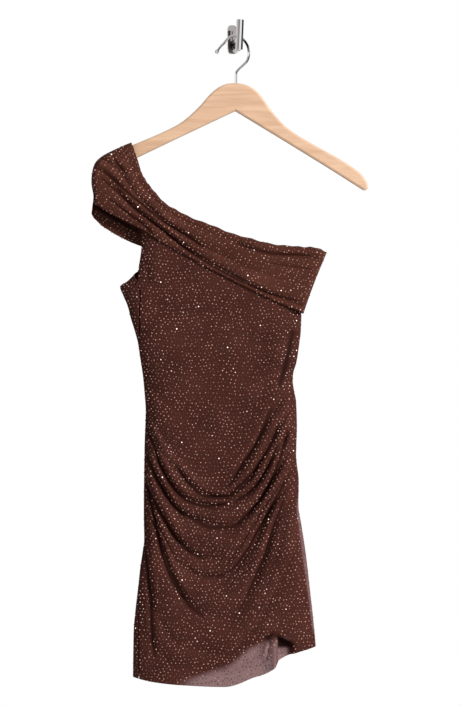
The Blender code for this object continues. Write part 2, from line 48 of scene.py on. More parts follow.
# The tube of the dress, as in the part
HANG_PLANE = -36.0
SEAM_HALF_GAP = 0.3
EDGE_HALF_GAP = 0.12
FRONT_DEPTH = 15.0
BACK_DEPTH = 11.0
CORNER_SHARE = 0.16
WRAP_SEAM_X = -147.3
WRAP_LEAST = 2.0
ARMHOLE_FOOT = 384.0
ARMHOLE_HEAD = 370.0
ARMHOLE_OPEN_ANGLE = 24.0

# The dress's two sides, as (drop, x)
LEFT_SIDE = [
    (290, -143.5), (330, -145.0), (355, -148.0), (372, -152.5), (387, -164.5), (396, -177.0),
    (410, -172.0), (428, -164.5), (446, -160.0), (465, -154.0), (486, -148.5), (508, -145.2),
    (537, -140.8), (562, -138.4), (592, -136.4), (648, -138.2), (753, -139.4), (796, -138.8),
    (816, -141.4), (842, -145.2), (868, -148.0), (909, -152.8), (940, -155.4), (1030, -156.8),
]
RIGHT_SIDE = [
    (290, 107.0), (425, 108.0), (445, 109.6), (465, 108.8), (492, 105.6), (517, 101.6), (532, 97.0),
    (544, 96.0), (560, 98.0), (578, 101.4), (616, 102.6), (662, 101.4), (704, 105.5), (741, 105.0),
    (774, 110.0), (816, 116.4), (878, 123.6), (937, 130.0), (970, 132.5), (1030, 133.5),
]

# Swags of the front, as in the part; rows are those of the part's mesh
STATIONS = (0.0, 0.1, 0.25, 0.5, 0.65, 0.85, 1.0)
Swag = namedtuple("Swag", "name d0 d10 d25 d50 d65 d85 d100 rise_left rise_mid rise_right rows")
SWAGS = [Swag(*row) for row in (
    ("top", 298, 309, 332, 359, 385, 408, 425, 0.0, 0.0, 0.0, 6),
    ("bust", 404, 408, 414, 422, 430, 439, 448, 1.0, 0.6, 1.0, 4),
    ("waist", 496, 509, 528, 544, 531, 496, 481, 1.5, 1.0, 2.0, 2),
    ("belly", 542, 567, 600, 629, 602, 544, 516, 2.0, 1.0, 3.0, 2),
    ("crease_a", 588, 626, 673, 714, 673, 592, 552, 2.0, 3.0, 4.0, 3),
    ("crease_b", 615, 651, 696, 729, 708, 627, 575, 3.0, 3.5, 4.5, 3),
    ("crease_c", 638, 678, 725, 741, 723, 663, 604, 4.0, 5.0, 5.0, 3),
    ("crease_d", 662, 709, 754, 772, 756, 692, 638, 6.0, 7.0, 6.0, 4),
    ("crease_e", 701, 752, 805, 827, 785, 717, 673, 3.0, 3.0, 4.0, 3),
    ("crease_f", 720, 777, 837, 854, 814, 733, 695, 4.0, 6.0, 5.0, 4),
    ("crease_g", 737, 789, 876, 918, 876, 765, 720, 4.0, 4.0, 5.0, 3),
    ("crease_h", 830, 900, 960, 975, 938, 850, 780, 3.0, 2.0, 3.0, 3),
    ("above_hem", 921, 959, 994, 1001, 976, 913, 872, 2.0, 1.0, 2.0, 3),
    ("hem", 1012, 1018, 1023, 1026, 1012, 977, 964, 0.0, 0.0, 0.0, 0),
)]
BACK_SAG_SHARE = 0.65
BACK_RISE_SHARE = 0.6
RISE_STATIONS = (0.1, 0.5, 0.9)
RISE_FADE = 0.08
FINE_ROWS = 6
FRONT_LEFT_COLUMNS = 22
FRONT_FLAT_COLUMNS = 76
BACK_LEFT_COLUMNS = 34
BACK_FLAT_COLUMNS = 64
RIGHT_COLUMNS = 24
EDGE_FADE = 0.03
# A broad, soft unevenness: how deep it is, and the lengths of its waves
SOFT_DEPTH = 0.5
SOFT_LENGTHS = (31.0, 47.0, 38.0)

# The front's hem, where a pleat ends in a flap that folds under beside a hollow, with shade painted
# into the hollow, a painted shadow line along the flap's edge and a painted shadow spot under its
# top. A pair gives the places between which something fades in or out
PLEAT_TOP_DROP = 925.0
PLEAT_TOP_X = 54.0
PLEAT_HEM_X = 66.0
PLEAT_WIDTH = 11.0
PLEAT_RISE = 5.0
PLEAT_FADE = 0.6
FLAP_EDGE_X = 70.5
FLAP_TOP_DROPS = (940.0, 952.0)
FLAP_RIDGE_X = 65.5
FLAP_RIDGE = 3.0
FLAP_RIDGE_HALF = 3.0
FLAP_RIDGE_OPAQUE = 0.5
FLAP_DROP = 6.0
FLAP_DROP_LEFT = (30.0, 60.0)
FLAP_DROP_RIGHT = (69.5, 72.0)
FLAP_DROP_DROPS = (940.0, 990.0)
# A painted shadow line along the flap's edge, and a painted shadow spot under the flap's top
FLAP_EDGE_SHADOW = 0.8
FLAP_EDGE_SHADOW_OFFSET = 0.6
FLAP_EDGE_SHADOW_HALF = 0.9
FLAP_EDGE_SHADOW_DROPS = (948.0, 954.0)
FLAP_SHADOW = (57.0, 948.0)
FLAP_SHADOW_HALVES = (5.0, 4.5)
HOLLOW_DEPTH = 10.0
HOLLOW_EDGE_X = (FLAP_EDGE_X, 81.0, 88.5, 97.0)
HOLLOW_EDGE_DROPS = (946.0, 949.5, 953.0, 958.0)
HOLLOW_EDGE_HALF = 1.5
HOLLOW_LEFT_FADE = 2.5
HOLLOW_RIGHT = (90.0, 99.0)
# Drops between which the painted shade in the hollow fades out
HOLLOW_SHADE_DROPS = (963.0, 969.0)
OPAQUE_CORNER = (84.0, 93.0)
OPAQUE_CORNER_DROPS = (935.0, 945.0)
OPAQUE_LEFT = (-88.0, -56.0)

# The main creases of the front: points along each, how deep and how wide it is. Cloth above a
# crease bulges over it by a share of its depth, as a swag does; the depth also sets the shade
# painted into it
Crease = namedtuple("Crease", "name depth width points")
FRONT_CREASES = [Crease(*row) for row in (
    ("waist_line", 0.5, 2.5, ((-85, 470), (-27, 471), (36, 470), (106, 471))),
    ("bust_left", 1.2, 5.0, ((-134, 355), (-131, 374), (-129, 391))),
    ("hip_diagonal", 2.0, 9.0, ((96, 465), (87, 509), (74, 556))),
    ("a_right", 2.4, 4.5, ((62, 588), (34, 650), (20, 670), (11, 685), (-8, 708))),
    ("b", 3.6, 4.2, ((-89, 676), (-65, 710), (-40, 726), (-11, 726.5), (12, 709.5), (32, 689.5),
        (48, 666), (64, 638), (74, 610))),
    ("c_left", 4.2, 4.5, ((-137, 618), (-125, 642), (-113, 676), (-91, 715), (-65, 736), (-36, 742),
        (-8, 737))),
    ("c_right", 3.0, 4.2, ((4, 734.5), (26, 720.5), (43, 702), (56, 680), (72, 645))),
    ("d_left", 3.6, 4.5, ((-137, 656), (-117, 700), (-95, 737), (-75, 757))),
    ("d_middle", 1.6, 7.0, ((-85, 750), (-60, 763), (-32, 775), (-5, 775), (15, 767))),
    ("d_right", 4.6, 4.5, ((8, 769), (34, 744), (50, 722), (62, 700), (75, 668), (88, 622))),
    ("e_left", 3.8, 4.5, ((-137, 707), (-124, 730), (-109, 757), (-87, 793), (-65, 815),
        (-42, 825))),
    ("e_under", 1.4, 4.2, ((-71, 837), (-46, 852), (-20, 851), (-5, 845))),
    ("e_right", 4.0, 4.5, ((84, 703), (73, 722), (57.5, 750), (40, 781), (23, 812), (4.5, 837),
        (-5, 845))),
    ("f_left", 4.2, 4.8, ((-137, 704), (-126, 743), (-117, 783), (-105, 827), (-85, 871),
        (-65, 901), (-44, 915))),
    ("f_right", 3.6, 4.5, ((82, 728), (72, 756), (62, 784), (51, 818.5), (39, 848), (22, 885))),
    ("g_left", 3.2, 4.5, ((-138, 798), (-132, 849), (-128, 895), (-125, 953), (-121, 980))),
    ("h_right", 0.7, 7.0, ((91, 739), (79, 796), (60, 852), (39, 917))),
    ("flap_fold", 2.6, 2.4, ((60, 953), (57.5, 965), (54.5, 979))),
    ("flap_top", 3.0, 3.5, ((50, 951), (56, 946), (62, 943), (69, 946), (76, 949))),
)]
# Creases of the back, which the photo doesn't show: like the front's, fewer and shallower
BACK_CREASES = [Crease(*row) for row in (
    ("hip_right", 1.6, 9.0, ((95, 480), (80, 520), (60, 560))),
    ("swag_a", 2.6, 5.0, ((92, 560), (64, 606), (30, 650), (-8, 678), (-46, 672), (-80, 640))),
    ("swag_b", 3.0, 5.0, ((-134, 600), (-106, 650), (-66, 690), (-20, 704), (26, 690), (64, 640),
        (96, 590))),
    ("swag_c", 3.2, 5.5, ((-136, 640), (-110, 690), (-70, 728), (-22, 742), (24, 728), (62, 684),
        (97, 625))),
    ("swag_d", 2.6, 5.0, ((-137, 690), (-114, 738), (-84, 776), (-50, 796))),
    ("swag_e", 2.6, 5.0, ((99, 665), (74, 716), (42, 760), (8, 786))),
    ("swag_f", 2.4, 5.0, ((-136, 730), (-120, 790), (-92, 838), (-58, 866))),
    ("swag_g", 2.2, 6.0, ((103, 705), (84, 770), (58, 826), (30, 862))),
    ("fall_left", 1.8, 6.0, ((-138, 800), (-132, 868), (-124, 936))),
)]
# The form of every crease, and its shade; widths and offsets are shares of the crease's own width
BULGE_SHARE = 0.55
BULGE_OFFSET = 2.0
BULGE_WIDTH = 1.5
CREASE_REACH = 5.0
TAPER_POWER = 0.35
FULL_SHADE_DEPTH = 2.3
SHADE_WIDTH = 0.40
SHADE_BELOW = 0.12
SHADE_BELOW_OFFSET = 0.7
SHADE_BELOW_WIDTH = 0.9
SHADE_TAPER = 0.5
BACK_SHADE = 0.9

# Small gathers along the side seams
GATHER_TOP_DROPS = (575.0, 615.0)
GATHER_FOOT_DROPS = (810.0, 900.0)
GATHER_PITCH = 8.5
GATHER_SLANT = 0.5
GATHER_REACH = 16.0
GATHER_DEPTH = 1.3
GATHER_FADE = 0.012
GATHER_PHASES = (0.4, 1.9)
Wander = namedtuple("Wander", "size length turns")
GATHER_WANDERS = [Wander(2.0, 23.0, 1), Wander(1.4, 9.7, 2)]
GATHER_EVEN = 0.65
GATHER_UNEVEN = Wander(0.35, 17.0, 3)

# The opaque lining, as in the part; its hems are drops at the swags' stations
LINING_TOP_DROP = 800.0
LINING_GAP = 0.85
PANEL_WALL = 1.5
LINING_SIDE_INSET = 5.5
LINING_RIGHT_LIMIT = 100.0
LINING_FRONT_HEM = (1005, 1012, 1018, 992, 964, 953, 960)
LINING_BACK_HEM = (985, 991, 988, 972, 962, 966, 966)
LINING_LINES = 50
LINING_TURN_COLUMNS = 14
LINING_FLAT_COLUMNS = 60
LINING_SLACK = 0.4
LINING_RIPPLE = 0.35
LINING_RIPPLE_LENGTH = 13.0
LINING_BACK_PHASE = 2.0

# Where the mesh is sheer: below the lining's hem, which in the middle of the front shows later
SHEER_BLEND = 9.0
SHEER_BLEND_BELOW = 0.6
SHEER_LATER = 7.0
SHEER_LATER_HALF = 32.0
# The sheer strip along the right edge, past the lining, painted lighter for the light that shows
# through it: its width at drops, and the shares of that width between which it fades
EDGE_STRIP_DROPS = (720.0, 760.0, 815.0, 870.0, 960.0)
EDGE_STRIP_WIDTHS = (0.0, 4.5, 6.0, 4.5, 3.0)
EDGE_STRIP_SHARE = 0.55
EDGE_STRIP_FADE = (0.7, 1.2)
LEAST_WIDTH = 0.1

# The pleated shoulder band, as in the part
Cross = namedtuple("Cross", "neck_x neck_drop guide_x guide_drop low_x low_drop pull")
BAND_FRONT = [Cross(*row) for row in (
    (-159, 168.5, -225.1, 199.6, -219, 266, 3.0), (-152, 186, -189, 221, -203, 275, 1.4),
    (-146.5, 203.5, -168, 243, -186, 285, 1.0), (-140.5, 221, -153, 259, -164, 296, 1.0),
    (-129, 238, -134, 275, -137, 310, 1.0), (-109, 261.5, -110, 294, -110, 328, 1.0),
    (-82, 279.5, -82, 312, -80, 345, 1.0), (-42, 296.5, -42, 331, -42, 366, 1.0),
    (0, 312.5, -3, 348, -6, 384, 1.0), (47, 326, 41, 366, 35, 405, 1.0),
    (91, 333, 82, 377, 71, 422, 1.0), (124, 334.5, 110, 384, 95, 432, 1.0),
    (150, 342, 126.5, 396, 113, 439, 1.0),
)]
BAND_BACK = [Cross(*row) for row in (
    (-159, 168.5, -225.1, 199.6, -221.5, 281, 3.0), (-152, 187, -189, 233, -209, 297, 1.4),
    (-146.5, 205.5, -168, 254, -191, 309.5, 1.0), (-140.5, 224, -153, 272, -166, 323, 1.0),
    (-129, 242, -134, 285, -140.5, 333, 1.0), (-109, 265.5, -110, 303, -110, 343, 1.0),
    (-82, 283.5, -82, 318, -80, 354, 1.0), (-42, 300.5, -42, 336, -42, 371, 1.0),
    (0, 315.5, -3, 351, -6, 386, 1.0), (47, 327, 41, 366, 35, 405, 1.0),
    (91, 332, 82, 376, 71, 422, 1.0), (124, 332.5, 110, 384, 95, 432, 1.0),
    (150, 342, 126.5, 396, 113, 439, 1.0),
)]
PLEAT_STATIONS = (0.0, 2.0, 4.5, 7.0, 10.0, 12.0)
PLEAT_LIFT_STATIONS = (0.0, 6.5, 12.0)
Pleat = namedtuple("Pleat", "name s0 s2 s4 s7 s10 s12 lift_shoulder lift_mid lift_right trough")
BAND_PLEATS = [Pleat(*row) for row in (
    ("neck_edge", 0.0, 0.0, 0.0, 0.0, 0.0, 0.0, 0.0, 0.0, 0.0, True),
    ("roll", 0.07, 0.07, 0.08, 0.08, 0.08, 0.08, 2.0, 3.0, 3.0, False),
    ("upper_trough", 0.16, 0.17, 0.17, 0.17, 0.165, 0.15, 2.5, 2.2, 0.6, True),
    ("upper_crest", 0.24, 0.28, 0.29, 0.36, 0.38, 0.38, 4.0, 5.0, 4.2, False),
    ("middle_trough", 0.31, 0.40, 0.42, 0.57, 0.60, 0.60, 0.6, 1.5, 4.6, True),
    ("middle_crest", 0.43, 0.51, 0.55, 0.70, 0.76, 0.76, 4.0, 5.0, 4.6, False),
    ("lower_trough", 0.56, 0.62, 0.68, 0.83, 0.92, 0.90, 0.4, 0.1, 0.1, True),
    ("tuck_crest", 0.78, 0.80, 0.84, 0.92, 0.96, 0.95, 2.5, 3.2, 2.4, False),
    ("lower_edge", 1.0, 1.0, 1.0, 1.0, 1.0, 1.0, 0.0, 0.0, 0.0, True),
)]
BAND_CREASES = [Crease(*row) for row in (
    ("shoulder_short", 2.4, 3.2, ((-184, 197), (-177, 207), (-165, 219))),
    ("upper_long", 3.0, 3.4, ((-203, 213), (-183, 231), (-164, 249), (-147, 263), (-137, 271),
        (-113, 291), (-93, 304), (-69, 318), (-43, 337))),
    ("tuck", 3.4, 3.2, ((-207, 225), (-181, 247), (-164, 264), (-145, 281), (-116, 302), (-95, 319),
        (-73, 337), (-43, 357), (-10, 376), (27, 394.5), (61, 408.5), (102, 419.5))),
    ("sleeve_lower", 2.8, 3.0, ((-194, 258), (-177, 271), (-157, 287), (-137, 301), (-123, 317))),
    ("above_tuck", 0.9, 3.5, ((-106, 312), (-74, 329), (-43, 345), (-6, 368))),
    ("neck_fold", 2.8, 2.6, ((7, 329), (33, 338), (49, 342.5), (64, 345.5), (102, 347),
        (122, 347.5))),
    ("side_fold", 1.3, 2.6, ((58, 360), (82, 363), (105, 366.5), (127, 369))),
    ("gather_a", 1.2, 2.5, ((-187, 186), (-183, 199))),
    ("gather_b", 1.2, 2.5, ((-180, 181), (-173, 197))),
    ("gather_c", 1.0, 2.5, ((-170, 177), (-164, 192))),
)]
# Creases of the back band. sleeve_shadow is a shallow crease with shade painted along it, the
# painted shadow that the front band casts inside the sleeve
BAND_BACK_CREASES = [Crease(*row) for row in (
    ("sleeve_shadow", 2.2, 9.0, ((-219, 266), (-208, 274), (-190, 285), (-168, 298), (-146, 310))),
    ("upper_long", 2.0, 3.5, ((-196, 216), (-170, 240), (-140, 262), (-106, 288), (-70, 312))),
    ("middle_long", 2.0, 3.5, ((-150, 286), (-112, 310), (-70, 334), (-20, 358), (40, 384))),
    ("right_fold", 1.8, 4.0, ((20, 342), (60, 354), (104, 360))),
)]
BAND_DEPTH_STATIONS = (0.0, 3.0, 5.0, 12.0)
BAND_FRONT_DEPTHS = (13.5, 14.5, 17.0, 17.0)
BAND_BACK_DEPTHS = (12.5, 12.8, 13.0, 13.0)
BAND_SHOULDER_ROUND = 0.24
BAND_RIGHT_ROUND = 0.45
BAND_TURN_COLUMNS = 20
BAND_FLAT_COLUMNS = 222
BAND_LINES = 64
BAND_FOLD_SHARE = 0.7
BAND_EDGE_FADES = (0.05, 0.03)
PLEAT_POWER = 0.8
# The neck edge's small waves: their size, their turns a station and how far down they reach
NECK_UNEVEN = 1.1
NECK_TURNS = (3.1, 7.7)
NECK_REACH = 0.12
# Cloth that bulks out over the shoulder; reaches are in stations, and shares run down the band
SHOULDER_BULK = 2.4
SHOULDER_REACH = 1.4
SHOULDER_POWER = 0.7
SHOULDER_OUT = 0.45
SHOULDER_UP = 0.9
SHOULDER_UP_SHARES = (0.3, 0.8)
# The sleeve's outer edge: a dent, and on the back a corner, each at a drop with a half width
SLEEVE_REACH = 1.6
SLEEVE_DENT = 3.6
SLEEVE_DENT_AT = (254.0, 15.0)
SLEEVE_CORNER = 2.2
SLEEVE_CORNER_AT = (287.0, 6.0)
SLEEVE_HANG_IN = 6.0
SLEEVE_HANG_DROPS = (240.0, 285.0)
SLEEVE_HANG_STATIONS = (2.2, 3.8)

# Cloth thickness in the scene, thinner than the part's walls
MESH_THICK = 0.7
BAND_THICK = 1.1
LINING_THICK = 0.6

# Studs: spacing, size, how their rows hang and how many are sparkles, painted bright as a highlight
STUD_PITCH_X = 5.9
STUD_PITCH_Z = 5.3
STUD_RADIUS = 1.15
STUD_HEIGHT = 0.75
STUD_FOOT = -0.12
STUD_TOP_SHARE = 0.58
STUD_SIDES = 6
STUD_CAST = 200.0
SLEEVE_INSIDE = (-141.0, 262.0)
STUD_JITTER = 1.35
STUD_WARP = 2.2
Warp = namedtuple("Warp", "length swing cross_length")
STUD_WARP_X = Warp(21.0, 1.7, 33.0)
STUD_WARP_DROP = Warp(17.0, 1.3, 29.0)
HIP_SAG = 34.0
HIP_SAG_DROP = 720.0
HIP_SAG_HALF = 130.0
HIP_SAG_LEVEL = 0.6
BAND_SAG_LEFT = (-160.0, 0.55)
BAND_SAG_RIGHT = (88.0, 0.3)
STUD_MARGIN = 60.0
STUD_SHADE_LIMIT = 0.55
SPARKLE_SHARE = 0.011
GLINT_POWER = 1.5
SPARKLE_RADIUS = 1.25

# Colours, from dark to light in each finish
MESH_DARK = (0.0165, 0.0044, 0.0030)
MESH_LIGHT = (0.028, 0.0080, 0.0056)
# Painted shade: the colour that the cloth is darkened towards in creases and in the hem's hollow
MESH_CREASE_SHADE = (0.0045, 0.0012, 0.0008)
# Sheer mesh: partly see-through, and painted this lighter colour, a painted stand-in for the light
# that shows through it
MESH_SHEER_PAINTED_LIGHT = (0.096, 0.055, 0.056)
SHEER_ALPHA = 0.87
BAND_DARK = (0.0200, 0.0056, 0.0036)
BAND_LIGHT = (0.035, 0.0104, 0.0066)
LINING_DARK = (0.020, 0.0075, 0.0060)
LINING_LIGHT = (0.028, 0.0105, 0.0085)
# Painted shade for the lining's creases
LINING_CREASE_SHADE = (0.008, 0.0030, 0.0022)
# Studs are painted from dark to light by their glint, and sparkles are studs painted much lighter:
# painted highlights
STUD_DARK = (0.034, 0.0145, 0.011)
STUD_LIGHT = (0.27, 0.152, 0.120)
SPARKLE_DARK = (0.36, 0.26, 0.225)
SPARKLE_LIGHT = (0.90, 0.78, 0.73)
WOOD_DARK = (0.215, 0.126, 0.072)
WOOD_LIGHT = (0.272, 0.177, 0.111)
WOOD_WARM = (0.272, 0.182, 0.133)
METAL_TINT = (1.0, 0.96, 0.95)
# Metal, painted reflection: (place from the left face to the right face, grey), the grey painted
# there for the studio's bright and dark reflected across a rod
ROD_REFLECTION_BANDS = [(0.0, 0.50), (0.30, 0.48), (0.36, 0.12), (0.47, 0.10), (0.55, 0.80), (0.74, 0.80),
             (0.80, 0.02), (1.0, 0.02)]
WIRE_REFLECTION_BANDS = [(0.0, 0.36), (0.45, 0.42), (0.67, 0.36), (0.705, 0.003), (0.79, 0.003),
              (0.83, 0.50), (1.0, 0.50)]
# The wall hook's metal close to the wall, behind its bar, is painted dark and made rougher: a
# painted reflection of the dark of the dress and room
NEAR_WALL_Y = (-38.0, -28.0)
NEAR_WALL_PAINTED_DARK = (0.026, 0.022, 0.021)
NEAR_WALL_ROUGH = 0.5

# Camera and light
CAMERA_X = -3.15
CAMERA_Z = -501.0
CAMERA_DISTANCE = 2800.0
VIEW_WIDTH = 724.5
SENSOR_WIDTH = 36.0
GARMENT_PLANE = -45.0
FLOOR_DROP = 1300.0
FLOOR_RADIUS = 1000.0
FLOOR_SIDES = 96
FLOOR_COLOUR = (0.80, 0.79, 0.78)
LIGHT_TARGET = (-20, -45, -520)
Lamp = namedtuple("Lamp", "name place size power")
LAMPS = [Lamp("key", (3300, -2700, 900), 1300, 620.0), Lamp("fill", (-1300, -2200, 100), 1600, 8.0)]


class Curve:
    """A smooth curve through a table that never overshoots its points, for arrays of places."""

    def __init__(self, keys, values):
        self.keys = np.array(keys, dtype=float)
        self.values = np.array(values, dtype=float)
        slopes = np.diff(self.values) / np.diff(self.keys)
        inner = np.zeros(len(slopes) - 1)
        same_way = slopes[:-1] * slopes[1:] > 0
        sums = np.where(same_way, slopes[:-1] + slopes[1:], 1.0)
        inner[same_way] = (2 * slopes[:-1] * slopes[1:] / sums)[same_way]
        self.tangents = np.concatenate(([slopes[0]], inner, [slopes[-1]]))

    def __call__(self, at):
        at = np.clip(np.asarray(at, dtype=float), self.keys[0], self.keys[-1])
        i = np.clip(np.searchsorted(self.keys, at, side="right") - 1, 0, len(self.keys) - 2)
        span = self.keys[i + 1] - self.keys[i]
        t = (at - self.keys[i]) / span
        low = (1 + 2 * t) * (1 - t) ** 2 * self.values[i]
        low = low + t * (1 - t) ** 2 * span * self.tangents[i]
        high = t * t * (3 - 2 * t) * self.values[i + 1]
        return low + high + t * t * (t - 1) * span * self.tangents[i + 1]


left_side = Curve(*zip(*LEFT_SIDE))
right_side = Curve(*zip(*RIGHT_SIDE))
swag_curves = [Curve(STATIONS, swag[1:8]) for swag in SWAGS]


def smooth_step(low, high, value):
    t = np.clip((value - low) / (high - low), 0.0, 1.0)
    return t * t * (3 - 2 * t)


def bell(value, middle, half):
    """A smooth hill of height 1 round a middle."""
    return np.exp(-((value - middle) / half) ** 2)


def corner_height(share):
    inward = np.clip(np.minimum(share, 1.0 - share) / CORNER_SHARE, 0.0, 1.0)
    return np.sqrt(np.maximum(0.0, 1.0 - (1.0 - inward) ** 2))


def corner_share(angle):
    return CORNER_SHARE * (1.0 - np.cos(np.radians(angle)))


def swag_drop(index, share, sag_share):
    drops = SWAGS[index][1:8]
    straight = drops[0] + (drops[-1] - drops[0]) * share
    return straight + (swag_curves[index](share) - straight) * sag_share


def row_drop(row, share, sag_share=1.0):
    index, way = row
    drop = swag_drop(index, share, sag_share)
    if way == 0.0:
        return drop
    return drop + (swag_drop(index + 1, share, sag_share) - drop) * way


def row_rise(row, share):
    index, way = row
    swag = SWAGS[index]
    rise = Curve(RISE_STATIONS, (swag.rise_left, swag.rise_mid, swag.rise_right))(share)
    fade = smooth_step(0.0, RISE_FADE, share) * smooth_step(0.0, RISE_FADE, 1.0 - share)
    return rise * fade * math.sin(math.pi * way)


def fine_rows():
    rows = []
    for i, swag in enumerate(SWAGS):
        steps = swag.rows * FINE_ROWS
        rows += [(i, step / steps) for step in range(steps)]
    return rows + [(len(SWAGS) - 1, 0.0)]


def smooth_line(points, spacing=3.0):
    """Closely spaced points along a smooth curve through a crease's points."""
    points = np.array(points, dtype=float)
    gaps = np.hypot(*np.diff(points, axis=0).T)
    keys = np.concatenate(([0.0], np.cumsum(gaps)))
    at = np.linspace(0.0, keys[-1], max(3, int(keys[-1] / spacing)))
    return np.stack([Curve(keys, points[:, 0])(at), Curve(keys, points[:, 1])(at)], axis=1)


def crease_field(creases, x, drop):
    """How far the cloth moves outwards at each place, and how much shade is painted into the crease
    there.
    """
    outward = np.zeros(x.size)
    shade = np.zeros(x.size)
    flat_x = x.reshape(-1)
    flat_drop = drop.reshape(-1)
    for crease in creases:
        line = smooth_line(crease.points)
        if line[0, 0] > line[-1, 0]:
            line = line[::-1]
        reach = CREASE_REACH * crease.width
        low = line.min(axis=0) - reach
        high = line.max(axis=0) + reach
        near_line = np.nonzero((flat_x > low[0]) & (flat_x < high[0])
                               & (flat_drop > low[1]) & (flat_drop < high[1]))[0]
        px = flat_x[near_line]
        pz = flat_drop[near_line]
        best = np.full(px.shape, 1e9)
        signed = np.zeros_like(px)
        along = np.zeros_like(px)
        for k in range(len(line) - 1):
            start = line[k]
            step = line[k + 1] - start
            length = max(1e-6, float(np.hypot(*step)))
            t = ((px - start[0]) * step[0] + (pz - start[1]) * step[1]) / length ** 2
            t = np.clip(t, 0.0, 1.0)
            dx = px - start[0] - t * step[0]
            dz = pz - start[1] - t * step[1]
            distance = np.hypot(dx, dz)
            nearer = distance < best
            best = np.where(nearer, distance, best)
            below = step[0] * dz - step[1] * dx
            signed = np.where(nearer, np.where(below > 0, distance, -distance), signed)
            along = np.where(nearer, (k + t) / (len(line) - 1), along)
        taper = np.clip(np.sin(np.pi * along), 0.0, 1.0) ** TAPER_POWER
        near = signed / crease.width
        trough = bell(near, 0.0, 1.0)
        bulge = bell(near, -BULGE_OFFSET, BULGE_WIDTH)
        outward[near_line] += crease.depth * taper * (BULGE_SHARE * bulge - trough)
        strength = min(1.0, crease.depth / FULL_SHADE_DEPTH) * taper ** SHADE_TAPER
        shade[near_line] += strength * bell(near, 0.0, SHADE_WIDTH)
        below = bell(near, SHADE_BELOW_OFFSET, SHADE_BELOW_WIDTH)
        shade[near_line] += SHADE_BELOW * strength * below
    return outward.reshape(x.shape), np.clip(shade, 0.0, 1.0).reshape(x.shape)


def gathers(x_from_side, drop, phase):
    """Small puckers that run in from a gathered side seam."""
    window = smooth_step(*GATHER_TOP_DROPS, drop) * (1.0 - smooth_step(*GATHER_FOOT_DROPS, drop))
    first, second, uneven = (wander.size * np.sin(drop / wander.length + wander.turns * phase)
                             for wander in (*GATHER_WANDERS, GATHER_UNEVEN))
    place = drop + (first + second) + GATHER_SLANT * x_from_side
    wave = np.sin(place * 2 * np.pi / GATHER_PITCH + phase)
    strength = GATHER_EVEN + uneven
    return GATHER_DEPTH * wave * window * strength * np.exp(-x_from_side / GATHER_REACH)


def hem_fold(x, drop):
    """The front's hem where it folds under: the flap's ridge, the hollow to the right of it, and
    the shade painted in the hollow, along the flap's edge and under the flap's top.
    """
    top = Curve(HOLLOW_EDGE_X, HOLLOW_EDGE_DROPS)(x)
    hollow = smooth_step(-HOLLOW_EDGE_HALF, HOLLOW_EDGE_HALF, drop - top)
    hollow = hollow * smooth_step(0.0, HOLLOW_LEFT_FADE, x - FLAP_EDGE_X)
    hollow = hollow * (1.0 - smooth_step(*HOLLOW_RIGHT, x))
    ridge = bell(x, FLAP_RIDGE_X, FLAP_RIDGE_HALF) * smooth_step(*FLAP_TOP_DROPS, drop)
    # Painted shade: the hollow's upper part, a thin painted shadow line along the flap's edge and a
    # painted shadow spot under the flap's top
    dark = hollow * (1.0 - smooth_step(*HOLLOW_SHADE_DROPS, drop))
    line = FLAP_EDGE_SHADOW * bell(x - FLAP_EDGE_X, FLAP_EDGE_SHADOW_OFFSET, FLAP_EDGE_SHADOW_HALF)
    line = line * smooth_step(*FLAP_EDGE_SHADOW_DROPS, drop)
    under = np.hypot((x - FLAP_SHADOW[0]) / FLAP_SHADOW_HALVES[0],
                     (drop - FLAP_SHADOW[1]) / FLAP_SHADOW_HALVES[1])
    dark = np.maximum(dark, np.maximum(line, np.exp(-under ** 2)))
    return FLAP_RIDGE * ridge - HOLLOW_DEPTH * hollow, dark, ridge


def panel_grid(rows, creases):
    """Places and crease shades on a panel from rows of (on the front, share, drop, rise)."""
    on_front, share, drop, rise = (np.array([row[k] for row in rows]) for k in range(4))
    left = left_side(drop)
    right = right_side(drop)
    x = left + (right - left) * share
    height = corner_height(share)
    depth = np.where(on_front, FRONT_DEPTH, BACK_DEPTH)
    folds, shade = crease_field(creases, x, drop)
    pucker = (gathers(x - left, drop, GATHER_PHASES[0])
              + gathers(right - x, drop, GATHER_PHASES[1]))
    across, down, long = SOFT_LENGTHS
    soft = SOFT_DEPTH * np.sin(x / across + drop / down) * np.sin(drop / long + 1.0)
    inner = smooth_step(0.0, EDGE_FADE, share) * smooth_step(0.0, EDGE_FADE, 1.0 - share)
    out = EDGE_HALF_GAP + (depth - EDGE_HALF_GAP) * height + rise + inner * (folds + soft)
    out = out + pucker * smooth_step(0.0, GATHER_FADE, np.minimum(share, 1.0 - share))
    return x, height, drop, out, shade * inner


